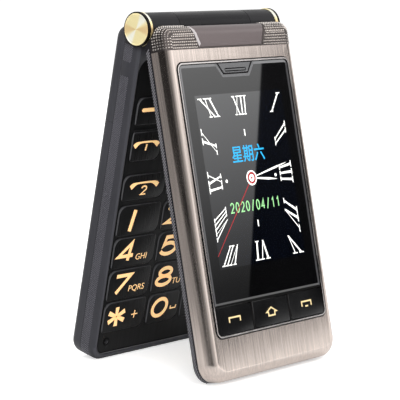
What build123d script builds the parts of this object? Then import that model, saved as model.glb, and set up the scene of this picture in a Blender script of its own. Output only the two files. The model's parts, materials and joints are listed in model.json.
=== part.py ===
from build123d import *
import os
from math import acos, atan2, cos, degrees, hypot, radians, sin

# Both halves are drawn closed and flat. x runs across the phone, the hinge axis is the x axis,
# both halves reach from it towards -y, the lid lies above the base, and z is the height above
# the axis. A distance called near or far is measured from the hinge axis towards the free end.

# ------------------------------------------------------------------ whole phone, mm
half_width = 29.5
lid_length = 107.1            # hinge axis to free end, with a thumb lip past the base
base_length = 106.2
hinge_end = 0.5               # where both halves begin beside the hinge axis
parting_height = 1.4          # top face of the base
closed_gap = 0.2
lid_floor = parting_height + closed_gap
lid_seam = 3.9                # inner shell below, outer frame above
lid_face = 9.7
base_seam = -4.5              # front shell above, rear shell and battery cover below
seam_gap = 0.1
base_back = -9.2
wall = 1.2
lid_tilt = 12.6               # how far the lid leans from upright in the tent, degrees
tent_angle = 23.8             # opening between the two halves in the tent, degrees

near_corner = 3.6             # outline radii in plan
lid_far_corner = 6.0
base_far_corner = 5.0
lid_roll = 3.2                # radius from the lid's face into its sides
back_roll = 2.5
hollow_bevel = 1.3            # inside edge of the rolled walls
rim_chamfer = 1.3             # bevel round the keypad side of the base
inside_from = 6.8             # inner hollows begin here, clear of the barrel

# ------------------------------------------------------------------ hinge barrel
barrel_radius = 4.9
knuckle_joint = 16.1          # centre knuckle ends here, outer knuckles begin
joint_gap = 0.15
barrel_end = 28.2
cap_radius = 5.25
cap_face = 30.4
cap_rim = 0.4
cap_land = 0.5                # flat ring between the bevel and the dish
cap_dish = 0.25
swing_gap = 0.35              # room between a barrel and the half that turns about it
pin_radius = 2.0
running_gap = 0.05
module_radius = 3.3
module_far = 26.0
pin_reach = 12.2
drive_radius = 2.9
drive_reach = 9.0
drive_shaft = 1.5
shaft_far = 20.0
flex_left, flex_right = -11.5, -5.5
flex_room = 3.6

# ------------------------------------------------------------------ lid face
panel_half = 26.0
panel_near, panel_far = 11.65, 94.5
panel_corner = 2.6
bezel_width = 1.0
bezel_top = 9.95
bezel_seat = lid_face - wall  # underside of the frame's face
flange_depth = 0.8
flange_reach = 0.3
flange_width = 2.3
glass_top = 9.75
glass_bevel = 0.9             # how wide the bevel round the glass is, and how deep
glass_bevel_depth = 0.1
divider = 85.0                # between the glass and the three keys below it
divider_width = 0.5
key_split = 8.53
display_half = 19.8
display_near, display_far = 21.9, 74.4
display_margin = 0.8
band_far = 8.0
cover_half_near, cover_half_far = 17.7, 14.4
cover_far = 7.5
cover_seat = 8.3
cover_proud = 0.25
tab_near, tab_far = 12.65, 16.0
tab_half_near, tab_half_far = 8.1, 5.7
tab_slot_half = 4.9
tab_slot_near, tab_slot_far = 14.3, 15.4

# ------------------------------------------------------------------ lid inside
lens_half = 23.6
lens_near, lens_far = 15.0, 91.0
inner_display_half = 21.5
inner_display_near, inner_display_far = 22.0, 82.0
receiver_half, receiver_near, receiver_far = 5.0, 8.8, 12.8
bumper_places = {"bumper_left": (-22.0, 102.5), "bumper_right": (22.0, 102.5)}
bumper_radius = 1.6

# ------------------------------------------------------------------ keypad
plate_half = 27.9
plate_near, plate_far = 8.6, 104.2
plate_near_corner, plate_far_corner = 5.0, 3.8
plate_top = 1.05              # a little below the rim, so that the keys stand proud of it
plate_thick = 0.8
deck_low = -0.4
key_top = 1.45
key_slack = 0.15
key_flange = 0.35
key_travel = 0.35
key_corner = 1.8
ring_corner = 3.6
ok_corner = 0.5
ok_slack = 0.3
side_left = -26.8
side_key, centre_key = 18.2, 14.0
first_row, row_pitch, key_height = 55.4, 10.6, 9.8
upper_row_near, upper_row_far = 45.6, 53.7
wing_left, wing_right = -25.8, -13.3
soft_near, soft_far = 21.0, 29.6
call_near, call_far = 31.9, 41.1
ring_half = 11.6
ok_half_width, ok_half_height = 5.0, 4.0
window_half = 27.25
window_near, window_far = 20.4, 97.6
bridge_near, bridge_far = 42.0, 44.7
mic_place = (-23.8, 100.2)

# ------------------------------------------------------------------ base inside
cover_split = 30.0
chassis_half = 27.9
chassis_back = -7.7
chassis_top = -2.6
board_low, board_high = -2.5, -1.5
mat_top = -0.8
battery_half, battery_near, battery_far = 22.5, 43.0, 97.0
battery_low, battery_high = -7.6, -3.5
camera_place = (-17.0, 16.0)
torch_place = (-8.0, 16.0)
camera_ring_radius, camera_glass_radius = 4.8, 3.4
camera_proud = 0.4
speaker_left, speaker_right = 7.0, 22.0
speaker_near, speaker_far = 11.5, 22.5
usb_half, usb_low, usb_high = 3.75, -4.2, -1.6


# ------------------------------------------------------------------ shape helpers
def outline(half, near, far, near_radius=0, far_radius=0):
    """A rectangle centred across the phone, with its hinge-end and free-end corners rounded."""
    shape = Pos(0, -(near + far) / 2) * Rectangle(2 * half, far - near)
    if far_radius:
        shape = fillet(shape.vertices().sort_by(Axis.Y)[:2], far_radius)
    if near_radius:
        shape = fillet(shape.vertices().sort_by(Axis.Y)[-2:], near_radius)
    return shape


def slab(half, near, far, low, high, near_radius=0, far_radius=0):
    """A plate centred across the phone, from one height to another."""
    flat = outline(half, near, far, near_radius, far_radius)
    return extrude(Pos(0, 0, low) * flat, amount=high - low)


def block(left, right, near, far, low, high, radius=0):
    """A plate anywhere on the phone, with the same radius at its four corners."""
    width, length = right - left, far - near
    flat = RectangleRounded(width, length, radius) if radius else Rectangle(width, length)
    place = Pos((left + right) / 2, -(near + far) / 2, low)
    return extrude(place * flat, amount=high - low)


def post(place, radius, low, high):
    """A round post or hole that stands on (across, distance from the hinge)."""
    return extrude(Pos(place[0], -place[1], low) * Circle(radius), amount=high - low)


def rod(radius, left, right):
    """A round bar along the hinge axis."""
    return Pos((left + right) / 2, 0, 0) * Rot(0, 90, 0) * Cylinder(radius, right - left)


def trapezoid(half_near, half_far, near, far):
    """A face that narrows from the hinge end to the free end."""
    corners = [(half_near, -near), (-half_near, -near), (-half_far, -far), (half_far, -far)]
    return make_face(Polyline(*corners, close=True))


def top_edges(shape):
    """The edges round the highest face."""
    return shape.faces().sort_by(Axis.Z)[-1].edges()


def bottom_edges(shape):
    """The edges round the lowest face."""
    return shape.faces().sort_by(Axis.Z)[0].edges()


# ------------------------------------------------------------------ room for the barrel
def room_over_outer_knuckles():
    """What the lid leaves free for the base's two knuckles and the end caps."""
    start = knuckle_joint - joint_gap
    swing = barrel_radius + swing_gap
    room = rod(swing, start, half_width + 1) + rod(swing, -half_width - 1, -start)
    cap_room = cap_radius + swing_gap
    room += rod(cap_room, barrel_end - swing_gap, half_width + 1)
    return room + rod(cap_room, -half_width - 1, -barrel_end + swing_gap)


def room_over_centre_knuckle():
    """What the base leaves free for the lid's knuckle."""
    reach = knuckle_joint + joint_gap
    return rod(barrel_radius + swing_gap, -reach, reach)


# ------------------------------------------------------------------ lid shells
def lid_form():
    """The lid's outer form above its seam."""
    shape = slab(half_width, hinge_end, lid_length, lid_seam, lid_face, near_corner,
                 lid_far_corner)
    return fillet(top_edges(shape), lid_roll)


def lid_hollow():
    """The room inside the lid's upper shell, bevelled where the outside is rolled."""
    room = slab(half_width - wall, inside_from, lid_length - wall, lid_seam, bezel_seat, 0,
                lid_far_corner - wall)
    return chamfer(top_edges(room), hollow_bevel)


def lid_upper():
    """The lid's whole upper shell, hollow, with its room over the barrel."""
    upper = lid_form() - lid_hollow() - room_over_outer_knuckles()
    return upper - rod(barrel_radius, -knuckle_joint, knuckle_joint)


def make_lid_outer_shell():
    """The metal frame round the glass panel."""
    far_part = slab(half_width + 1, band_far, lid_length + 1, lid_seam - 1, lid_face + 1)
    shell = lid_upper() & far_part
    return shell - slab(panel_half, panel_near, panel_far, lid_seam, lid_face + 1,
                        panel_corner, panel_corner)


def cover_prism(low, high):
    """The outline of the plain cover, carried upwards."""
    flat = trapezoid(cover_half_near, cover_half_far, -1, cover_far)
    return extrude(Pos(0, 0, low) * flat, amount=high - low)


def make_lid_grip_band():
    """The knurled band across the lid beside the hinge, with a recess for the plain cover."""
    near_part = slab(half_width + 1, -1, band_far, lid_seam - 1, lid_face + 1)
    return (lid_upper() & near_part) - cover_prism(cover_seat, lid_face + 1)


def make_lid_top_cover():
    """The plain tapered cover in the grip band, a little proud, with bevelled sides."""
    straight = cover_prism(cover_seat, lid_face - 0.4)
    flat = trapezoid(cover_half_near, cover_half_far, -1, cover_far)
    bevelled = extrude(Pos(0, 0, lid_face - 0.4) * flat, amount=1.2, taper=30)
    raised = Pos(0, 0, cover_proud) * lid_form()
    return (straight + bevelled) & raised


def make_lid_inner_shell():
    """The plastic tray that faces the keypad and carries the centre knuckle."""
    tray = slab(half_width, hinge_end, lid_length, lid_floor, lid_seam, near_corner,
                lid_far_corner)
    tray = chamfer(bottom_edges(tray), 0.3)
    tray -= slab(half_width - wall, inside_from, lid_length - wall, lid_floor + wall, lid_seam,
                 0, lid_far_corner - wall)
    tray -= room_over_outer_knuckles()
    tray += rod(barrel_radius, -knuckle_joint, knuckle_joint)
    tray -= slab(lens_half, lens_near, lens_far, 0, lid_seam, 2.0, 2.0)
    tray -= block(-4.5, 4.5, 10.2, 11.4, 0, lid_seam, 0.55)
    for place in bumper_places.values():
        tray -= post(place, bumper_radius, lid_floor - 1, lid_floor + 0.6)
    return tray - knuckle_hollows()


def knuckle_hollows():
    """The bores in the centre knuckle for the pin, the drive head and the flex coil."""
    bores = rod(pin_radius + running_gap, -knuckle_joint - 1, -pin_reach + 0.2)
    bores += rod(flex_room, flex_left - 0.3, flex_right + 0.3)
    bores += block(flex_left, flex_right, 1.0, inside_from + 0.5, 2.85, 3.35)
    return bores + hexagon_bar(drive_radius, drive_reach, knuckle_joint + 1)


def hexagon_bar(radius, left, right):
    """A six-sided bar along the hinge axis."""
    flat = Plane.YZ.offset(left) * RegularPolygon(radius, 6)
    return extrude(flat, amount=right - left)


# ------------------------------------------------------------------ lid glass panel
def key_window(left, right):
    """The opening in the panel for one of the three keys, between the bezel bars."""
    return block(left, right, divider + divider_width / 2, panel_far - bezel_width, 0, 12)


def outer_key_spans():
    """The three equal keys below the divider, from left to right."""
    inner = panel_half - bezel_width
    half_bar = divider_width / 2
    return {"outer_key_left": (-inner, -key_split - half_bar),
            "outer_key_home": (-key_split + half_bar, key_split - half_bar),
            "outer_key_back": (key_split + half_bar, inner)}


def make_outer_bezel():
    """The dark frame round the glass, with the bars between the keys and a flange below."""
    ring = slab(panel_half, panel_near, panel_far, bezel_seat, bezel_top, panel_corner,
                panel_corner)
    ring = chamfer(top_edges(ring), 0.3)
    flange = slab(panel_half + flange_reach, panel_near - flange_reach,
                  panel_far + flange_reach, bezel_seat - flange_depth, bezel_seat,
                  panel_corner, panel_corner)
    bezel = ring + flange
    bezel -= slab(panel_half - bezel_width, panel_near + bezel_width,
                  divider - divider_width / 2, bezel_seat, 12, panel_corner - bezel_width)
    bezel -= slab(panel_half - flange_width, panel_near + flange_width,
                  divider - flange_width, 0, 12, 1.0)
    for left, right in outer_key_spans().values():
        bezel -= key_window(left, right)
    bar_cut = slab(panel_half, divider - 2, panel_far - bezel_width, glass_top, 12)
    return bezel - (bar_cut & slab(panel_half - bezel_width, 0, 200, 0, 12))


def tab_prism(low, high, margin=0.0):
    """The tapered tab at the hinge end of the glass."""
    flat = trapezoid(tab_half_near + margin, tab_half_far + margin, tab_near - 0.5,
                     tab_far + margin)
    return extrude(Pos(0, 0, low) * flat, amount=high - low)


def make_outer_glass():
    """The glass over the outer display, notched for the tab and bevelled all round."""
    glass = slab(panel_half - bezel_width, panel_near + bezel_width,
                 divider - divider_width / 2, bezel_seat, glass_top,
                 panel_corner - bezel_width) - tab_prism(0, 12)
    face = glass.faces().sort_by(Axis.Z)[-1]
    return chamfer(face.edges(), glass_bevel, glass_bevel_depth, reference=face)


def make_earpiece_tab():
    """The tab in the notch of the glass, with a sound slot."""
    tab = tab_prism(bezel_seat, glass_top + 0.1, -0.12)
    tab &= slab(panel_half, panel_near + bezel_width, divider, 0, 12)
    tab = chamfer(top_edges(tab), 0.2)
    return tab - block(-tab_slot_half, tab_slot_half, tab_slot_near, tab_slot_far, 0, 12, 0.4)


def make_outer_display():
    """The display panel below the glass."""
    return slab(display_half + display_margin, display_near - display_margin,
                display_far + 3.0, bezel_seat - 1.8, bezel_seat)


def make_outer_key(left, right):
    """One outer key, with lips along two sides that hold it below the bezel."""
    near, far = divider + divider_width / 2, panel_far - bezel_width
    slack = 0.08
    key = block(left + slack, right - slack, near + slack, far - slack,
                bezel_seat - flange_depth - 0.4, glass_top)
    key = chamfer(top_edges(key), 0.15)
    return key + block(left + slack, right - slack, near - 0.4, far + 0.4,
                       bezel_seat - flange_depth - 0.4, bezel_seat - flange_depth)


def make_outer_key_flex():
    """The contact sheet below the outer keys."""
    return slab(24.5, 83.6, 95.2, 6.2, 6.85)


# ------------------------------------------------------------------ lid inner pieces
def make_inner_lens():
    """The window over the main display, set just below the inner face."""
    lens = slab(lens_half, lens_near, lens_far, lid_floor + 0.1, lid_floor + wall, 2.0, 2.0)
    return chamfer(bottom_edges(lens), 0.15)


def make_inner_display():
    """The main display panel behind the inner window."""
    return slab(inner_display_half, inner_display_near, inner_display_far, lid_floor + wall, 4.4)


def make_lid_board():
    """The circuit board between the two displays."""
    return slab(24.4, 20.5, 98.0, 4.7, 5.5)


def make_receiver():
    """The earpiece speaker behind its slot in the inner shell."""
    case = block(-receiver_half, receiver_half, receiver_near, receiver_far, lid_floor + wall,
                 5.6)
    return chamfer(top_edges(case), 0.3)


def make_bumper(place):
    """One of the two rubber buttons that meet the base when the phone shuts."""
    pad = post(place, bumper_radius, plate_top + 0.05, lid_floor + 0.6)
    return chamfer(bottom_edges(pad), 0.1)


def make_hinge_drive_head():
    """The six-sided head in the lid's knuckle, whose shaft runs in the hinge module."""
    head = hexagon_bar(drive_radius, drive_reach, knuckle_joint)
    return head + rod(drive_shaft, knuckle_joint, shaft_far - 0.3)


def make_hinge_flex():
    """The ribbon cable, coiled once in the knuckle, with its tail in the lid."""
    coil = rod(3.2, flex_left, flex_right) - rod(2.9, flex_left - 1, flex_right + 1)
    tail = block(flex_left, flex_right, 1.0, 20.0, 2.95, 3.15)
    return coil + (tail - rod(2.9, flex_left - 1, flex_right + 1))


# ------------------------------------------------------------------ keypad keys
def key_outlines():
    """Each key's left and right edge and its near and far edge."""
    columns = [(side_left, side_left + side_key), (-centre_key / 2, centre_key / 2),
               (-side_left - side_key, -side_left)]
    names = [["key_1", "key_2", "key_3"], ["key_4", "key_5", "key_6"],
             ["key_7", "key_8", "key_9"], ["key_star", "key_0", "key_hash"]]
    keys = {}
    for row, row_names in enumerate(names):
        near = first_row + row * row_pitch
        for (left, right), name in zip(columns, row_names):
            keys[name] = (left, right, near, near + key_height)
    for (left, right), name in zip(columns, ["call_key_2", "clear_key", "torch_key"]):
        keys[name] = (left, right, upper_row_near, upper_row_far)
    keys["soft_key_left"] = (wing_left, wing_right, soft_near, soft_far)
    keys["soft_key_right"] = (-wing_right, -wing_left, soft_near, soft_far)
    keys["call_key_1"] = (wing_left, wing_right, call_near, call_far)
    keys["end_key"] = (-wing_right, -wing_left, call_near, call_far)
    return keys


def key_cap(left, right, near, far, radius):
    """A key with a bevelled top, held below the plate by a lip all round."""
    cap = block(left, right, near, far, deck_low + 0.1, key_top, radius)
    cap = chamfer(top_edges(cap), 0.25)
    return cap + block(left - key_flange, right + key_flange, near - key_flange,
                       far + key_flange, deck_low + 0.1, plate_top - plate_thick)


def ring_span():
    """The outline of the navigation ring."""
    return -ring_half, ring_half, soft_near, call_far


def ok_span(margin=0.0):
    """The outline of the OK key at the middle of the ring."""
    middle = (soft_near + call_far) / 2
    half_across = ok_half_width + margin
    half_along = ok_half_height + margin
    return -half_across, half_across, middle - half_along, middle + half_along


def make_dpad_ring():
    """The four-way ring, with a plain hole for the OK key."""
    return key_cap(*ring_span(), ring_corner) - block(*ok_span(ok_slack), -2, 3)


def make_ok_key():
    """The OK key, a bevelled cap that stands in the ring's hole."""
    cap = block(*ok_span(), deck_low + 0.1, key_top + 0.05, ok_corner)
    return chamfer(top_edges(cap), 0.25)


def make_keypad_plate():
    """The brushed plate round the keys, with a close opening for each."""
    top = plate_top
    plate = slab(plate_half, plate_near, plate_far, top - plate_thick, top, plate_near_corner,
                 plate_far_corner)
    for left, right, near, far in key_outlines().values():
        plate -= block(left - key_slack, right + key_slack, near - key_slack, far + key_slack,
                       0, 3, key_corner + key_slack)
    left, right, near, far = ring_span()
    plate -= block(left - key_slack, right + key_slack, near - key_slack, far + key_slack, 0, 3,
                   ring_corner + key_slack)
    for side in (-1, 1):
        left, right = sorted((side * wing_left, side * wing_right))
        plate -= block(left, right, soft_far + 0.5, call_near - 0.5, top - 0.35, 3)
    plate -= post(mic_place, 1.3, top - 0.2, 3)
    return plate - post(mic_place, 0.5, 0, 3)


def make_keypad_mat():
    """The rubber contact mat that lies on the board below the keys."""
    return slab(24.4, window_near + 0.5, window_far - 0.5, board_high, mat_top)


# ------------------------------------------------------------------ base shells
def make_base_front_shell():
    """The keypad-side shell with the two outer knuckles."""
    top = parting_height
    shell = slab(half_width, hinge_end, base_length, base_seam, top, near_corner,
                 base_far_corner)
    shell = chamfer(top_edges(shell), rim_chamfer)
    shell -= slab(half_width - wall, inside_from, base_length - wall, base_seam, deck_low, 0,
                  base_far_corner - wall)
    shell -= room_over_centre_knuckle()
    for side in (-1, 1):
        left, right = sorted((side * (knuckle_joint + joint_gap), side * barrel_end))
        shell += rod(barrel_radius, left, right)
    shell -= slab(plate_half, plate_near, plate_far, plate_top - plate_thick, top + 1,
                  plate_near_corner, plate_far_corner)
    shell -= slab(window_half, window_near, bridge_near, deck_low - 1, top)
    shell -= slab(window_half, bridge_far, window_far, deck_low - 1, top)
    shell -= post(mic_place, 0.5, deck_low - 1, top)
    shell -= block(-usb_half - 0.1, usb_half + 0.1, 104, 108, usb_low - 0.1, usb_high + 0.1, 0)
    return shell - outer_knuckle_bores() - cap_room()


def outer_knuckle_bores():
    """The bores in the base's knuckles for the pin, the module and the caps' spigots."""
    return rod(pin_radius, -half_width, half_width) + rod(module_radius, 0, module_far)


def cap_room():
    """The base leaves room beyond its knuckles for the two end caps."""
    return (rod(cap_radius, barrel_end, half_width + 1)
            + rod(cap_radius, -half_width - 1, -barrel_end))


def back_form(near, far):
    """The base's outer form below its seam, between two distances from the hinge."""
    shape = slab(half_width, hinge_end, base_length, base_back, base_seam - seam_gap,
                 near_corner, base_far_corner)
    shape = fillet(bottom_edges(shape), back_roll)
    return shape & slab(half_width, near, far, base_back, 0)


def back_hollow(near, far, far_radius=0):
    """The room inside the back, bevelled where the outside is rolled."""
    room = slab(half_width - wall, near, far, base_back + wall, 0, 0, far_radius)
    return chamfer(bottom_edges(room), hollow_bevel)


def speaker_slots():
    """Five slots through the rear shell over the loudspeaker."""
    middle = (speaker_near + speaker_far) / 2
    slots = []
    for step in range(-2, 3):
        across = middle + 2.0 * step
        slots.append(block(speaker_left + 2.5, speaker_right - 2.5, across - 0.5, across + 0.5,
                           base_back - 1, -7))
    return Compound(slots)


def make_base_rear_shell():
    """The rear shell beside the hinge, and the chassis that runs on below the battery cover."""
    shell = back_form(-1, cover_split)
    shell -= back_hollow(inside_from + 0.6, cover_split - wall)
    chassis = slab(chassis_half, inside_from + 0.1, base_length - 1.6, chassis_back, chassis_top,
                   0, base_far_corner - 1.6)
    room = slab(26.4, inside_from + wall, cover_split - wall, base_back + wall, 0)
    shell = shell + chassis - room
    shell -= slab(battery_half + 0.3, battery_near - 0.3, battery_far + 0.3, base_back,
                  battery_high + 0.1)
    shell -= block(-11, 11, cover_split + 1.5, battery_near - 1.6, base_back, -6.0)
    shell -= block(-usb_half - 0.3, usb_half + 0.3, 100.3, 107, usb_low - 0.3, 0)
    shell += post(camera_place, camera_ring_radius, base_back - camera_proud, base_back + wall)
    shell -= post(camera_place, camera_glass_radius, base_back - 1, base_back + wall)
    shell -= post(torch_place, 1.5, base_back - 1, base_back + wall)
    for side in (-1, 1):
        left, right = sorted((side * knuckle_joint, side * half_width))
        shell -= rod(barrel_radius, left, right)
    return shell - speaker_slots() - room_over_centre_knuckle() - cap_room()


def make_battery_cover():
    """The lift-off cover over the battery, with a thumb notch at its free end."""
    cover = back_form(cover_split + seam_gap, base_length + 1)
    cover -= slab(half_width - wall, cover_split, base_length - wall, base_back + wall, 0, 0,
                  base_far_corner - wall)
    notch = Pos(0, -base_length, base_back) * Cylinder(5.0, 2.4)
    return cover - notch


# ------------------------------------------------------------------ base inner pieces
def make_main_board():
    """The main circuit board, notched for the charging socket."""
    board = slab(26.8, 10.0, 102.0, board_low, board_high)
    return board - block(-usb_half - 0.3, usb_half + 0.3, 100.3, 103, -3, 0)


def make_battery():
    """The battery, with its contact bar at the hinge end."""
    pack = slab(battery_half, battery_near + 1.5, battery_far, battery_low, battery_high)
    pack = chamfer(pack.edges().filter_by(Axis.X), 0.5)
    return pack + block(-9, 9, battery_near, battery_near + 1.5, battery_low + 0.6,
                        battery_high - 0.6)


def make_card_holder():
    """The steel card cage in the chassis beside the battery."""
    near, far = cover_split + 1.5, battery_near - 1.6
    cage = block(-11, 11, near, far, -7.6, -6.0)
    return cage - block(-9.8, 9.8, near + 1.0, far + 1, -7.1, -6.4)


def make_camera_module():
    """The camera, a square case with a round lens barrel."""
    across, along = camera_place
    case = block(across - 4.2, across + 4.2, along - 4.2, along + 4.2, base_back + wall, -3.6)
    return case + post(camera_place, 2.7, base_back + 0.5, base_back + wall)


def make_camera_window():
    """The small round window in the camera ring."""
    window = post(camera_place, camera_glass_radius, base_back - camera_proud + 0.15,
                  base_back + 0.5)
    return chamfer(bottom_edges(window), 0.15)


def make_torch_led():
    """The torch lamp with its small bevelled lens."""
    lens = post(torch_place, 1.5, base_back, base_back + wall)
    lens = chamfer(bottom_edges(lens), 0.4)
    across, along = torch_place
    return lens + block(across - 1.8, across + 1.8, along - 1.8, along + 1.8, base_back + wall,
                        base_back + wall + 1.2)


def make_loudspeaker():
    """The loudspeaker behind its slots."""
    case = block(speaker_left, speaker_right, speaker_near, speaker_far, base_back + wall, -4.6)
    return chamfer(top_edges(case), 0.4)


def make_vibration_motor():
    """The small motor with an off-centre weight, lying in the rear shell."""
    length, radius = 8.0, 1.9
    axis_place = Pos(14.0, -25.8, base_back + wall + radius)
    body = axis_place * Rot(0, 90, 0) * Cylinder(radius, length)
    weight = Pos(length / 2 + 1.6, 0, 0) * axis_place * Rot(0, 90, 0) * Cylinder(1.6, 2.2)
    shaft = Pos(length / 2 + 0.25, 0, 0) * axis_place * Rot(0, 90, 0) * Cylinder(0.4, 0.5)
    return body + shaft + (weight & Pos(0, 0, 0.4) * axis_place * Box(30, 6, 3.2))


def make_microphone():
    """The microphone below its hole in the keypad plate."""
    across, along = mic_place
    return block(across - 1.5, across + 1.5, along - 1.5, along + 1.5, board_high, deck_low)


def make_usb_socket():
    """The charging socket in the free end, a steel mouth round a tongue."""
    shell = block(-usb_half, usb_half, 100.6, base_length - 0.15, usb_low, usb_high)
    edges = shell.edges().filter_by(Axis.Y).sort_by(Axis.Z)[:2]
    shell = chamfer(edges, 0.7)
    mouth = block(-usb_half + 0.4, usb_half - 0.4, 101.6, 107, usb_low + 0.4, usb_high - 0.4)
    mouth_edges = mouth.edges().filter_by(Axis.Y).sort_by(Axis.Z)[:2]
    tongue = block(-1.9, 1.9, 101.6, base_length - 1.0, -2.75, -2.2)
    return shell - chamfer(mouth_edges, 0.5) + tongue


# ------------------------------------------------------------------ hinge pieces on the base
def make_hinge_module():
    """The sprung cartridge in the right knuckle, bored for the drive shaft."""
    body = rod(module_radius, knuckle_joint + joint_gap, module_far)
    return body - rod(drive_shaft + running_gap, knuckle_joint, shaft_far)


def make_hinge_pin():
    """The plain pin from the left knuckle into the lid's knuckle."""
    pin = rod(pin_radius, -module_far, -pin_reach)
    return chamfer(pin.faces().sort_by(Axis.X)[-1].edges(), 0.3)


def make_hinge_cap(side):
    """A turned end cap, a half profile spun on the hinge axis: bevelled disc, dish, spigot."""
    dish_radius = cap_radius - cap_rim - cap_land
    dish_face = cap_face - cap_dish
    profile = Polyline((module_far, 0), (module_far, pin_radius), (barrel_end, pin_radius),
                       (barrel_end, cap_radius), (cap_face - cap_rim, cap_radius),
                       (cap_face, cap_radius - cap_rim), (cap_face, dish_radius),
                       (dish_face, dish_radius - cap_dish), (dish_face, 0), close=True)
    cap = revolve(make_face(profile), Axis.X)
    return cap if side > 0 else mirror(cap, Plane.YZ)


# ------------------------------------------------------------------ the tent
def base_tilt():
    """How far the base leans from upright in the tent, degrees."""
    return tent_angle - lid_tilt


def foot_depth(tilt, distance, height):
    """How far a point of either half lies below the hinge axis when that half leans."""
    lean = radians(tilt)
    return distance * cos(lean) - height * sin(lean)


def hinge_height():
    """The height of the hinge axis over the floor, with the lid's inner edge on the floor."""
    return foot_depth(lid_tilt, lid_length, lid_floor + 0.3)


def hinge_offset():
    """Where the hinge axis lies from front to back, with the whole phone centred."""
    front = lid_centre_to_front()
    rear = base_centre_to_rear()
    return (front - rear) / 2


def lid_centre_to_front():
    """The furthest reach of the lid's rolled edge in front of the hinge axis."""
    lean = radians(lid_tilt)
    centre_far = lid_length - lid_roll
    centre_up = lid_face - lid_roll
    return centre_far * sin(lean) + centre_up * cos(lean) + lid_roll


def base_centre_to_rear():
    """The furthest reach of the base's rolled back edge behind the hinge axis."""
    lean = radians(base_tilt())
    centre_far = base_length - back_roll
    centre_back = -base_back - back_roll
    return centre_far * sin(lean) + centre_back * cos(lean) + back_roll


def lid_place():
    """From the flat drawing to the leaning lid."""
    return Pos(0, hinge_offset(), hinge_height()) * Rot(90 - lid_tilt, 0, 0)


def base_place():
    """From the flat drawing to the leaning base."""
    return Pos(0, hinge_offset(), hinge_height()) * Rot(90 + base_tilt(), 0, 0)


def lid_pieces():
    """Every piece that turns with the lid."""
    pieces = {
        "lid_outer_shell": make_lid_outer_shell(),
        "lid_inner_shell": make_lid_inner_shell(),
        "lid_grip_band": make_lid_grip_band(),
        "lid_top_cover": make_lid_top_cover(),
        "outer_bezel": make_outer_bezel(),
        "outer_glass": make_outer_glass(),
        "earpiece_tab": make_earpiece_tab(),
        "outer_display": make_outer_display(),
        "outer_key_flex": make_outer_key_flex(),
        "inner_lens": make_inner_lens(),
        "inner_display": make_inner_display(),
        "lid_board": make_lid_board(),
        "receiver": make_receiver(),
        "hinge_drive_head": make_hinge_drive_head(),
        "hinge_flex": make_hinge_flex(),
    }
    for name, place in bumper_places.items():
        pieces[name] = make_bumper(place)
    for name, (left, right) in outer_key_spans().items():
        pieces[name] = make_outer_key(left, right)
    return pieces


def base_pieces():
    """Every piece that stays with the base."""
    pieces = {
        "base_front_shell": make_base_front_shell(),
        "base_rear_shell": make_base_rear_shell(),
        "battery_cover": make_battery_cover(),
        "keypad_plate": make_keypad_plate(),
        "keypad_mat": make_keypad_mat(),
        "dpad_ring": make_dpad_ring(),
        "ok_key": make_ok_key(),
        "main_board": make_main_board(),
        "battery": make_battery(),
        "card_holder": make_card_holder(),
        "camera_module": make_camera_module(),
        "camera_window": make_camera_window(),
        "torch_led": make_torch_led(),
        "loudspeaker": make_loudspeaker(),
        "vibration_motor": make_vibration_motor(),
        "microphone": make_microphone(),
        "usb_socket": make_usb_socket(),
        "hinge_module": make_hinge_module(),
        "hinge_pin": make_hinge_pin(),
        "hinge_cap_left": make_hinge_cap(-1),
        "hinge_cap_right": make_hinge_cap(1),
    }
    for name, (left, right, near, far) in key_outlines().items():
        pieces[name] = key_cap(left, right, near, far, key_corner)
    return pieces


def write_pieces(pieces, place):
    """Put each piece in its place in the tent and write it."""
    for name, shape in pieces.items():
        export_step(place * shape, f"parts/{name}.step")


if __name__ == "__main__":
    os.makedirs("parts", exist_ok=True)
    write_pieces(lid_pieces(), lid_place())
    write_pieces(base_pieces(), base_place())
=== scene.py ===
"""Finishes, refined surfaces, legends and studio for a folding phone that stands half open.

Two frames are used. The flat drawing is in millimetres: x runs across the phone, y falls with the
distance from the hinge axis, called reach, and z is the height above that axis with the phone shut.
A Half turns its own drawing into its place in the tent, in metres.
"""
import json
import logging
import math
from dataclasses import dataclass, field, replace
from enum import Enum
from typing import Any, Optional, Sequence, Union

import bmesh
import bpy
import numpy as np
from mathutils import Matrix, Vector


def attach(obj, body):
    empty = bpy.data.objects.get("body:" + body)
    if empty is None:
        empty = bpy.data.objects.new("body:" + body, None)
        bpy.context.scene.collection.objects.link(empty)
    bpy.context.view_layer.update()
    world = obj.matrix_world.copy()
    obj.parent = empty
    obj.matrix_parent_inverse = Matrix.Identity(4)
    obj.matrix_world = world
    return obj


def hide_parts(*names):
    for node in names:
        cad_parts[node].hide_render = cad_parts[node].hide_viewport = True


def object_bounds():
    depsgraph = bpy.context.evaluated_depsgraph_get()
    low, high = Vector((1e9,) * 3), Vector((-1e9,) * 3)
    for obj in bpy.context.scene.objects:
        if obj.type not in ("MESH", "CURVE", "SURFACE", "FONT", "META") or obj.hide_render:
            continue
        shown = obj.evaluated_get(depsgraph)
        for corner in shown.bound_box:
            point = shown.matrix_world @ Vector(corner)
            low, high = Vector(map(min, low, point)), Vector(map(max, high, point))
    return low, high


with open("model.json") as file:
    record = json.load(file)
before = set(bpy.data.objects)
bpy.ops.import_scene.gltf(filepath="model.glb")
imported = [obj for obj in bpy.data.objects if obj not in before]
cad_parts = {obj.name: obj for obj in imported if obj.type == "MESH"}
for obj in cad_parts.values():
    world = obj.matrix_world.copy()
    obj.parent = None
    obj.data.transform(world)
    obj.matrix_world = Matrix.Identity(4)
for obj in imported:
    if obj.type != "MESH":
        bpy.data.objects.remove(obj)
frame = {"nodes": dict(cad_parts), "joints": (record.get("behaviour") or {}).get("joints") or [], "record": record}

LOG = logging.getLogger("phone")
MM = 0.001
CAD_BOX = [list(corner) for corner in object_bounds()]
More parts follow.
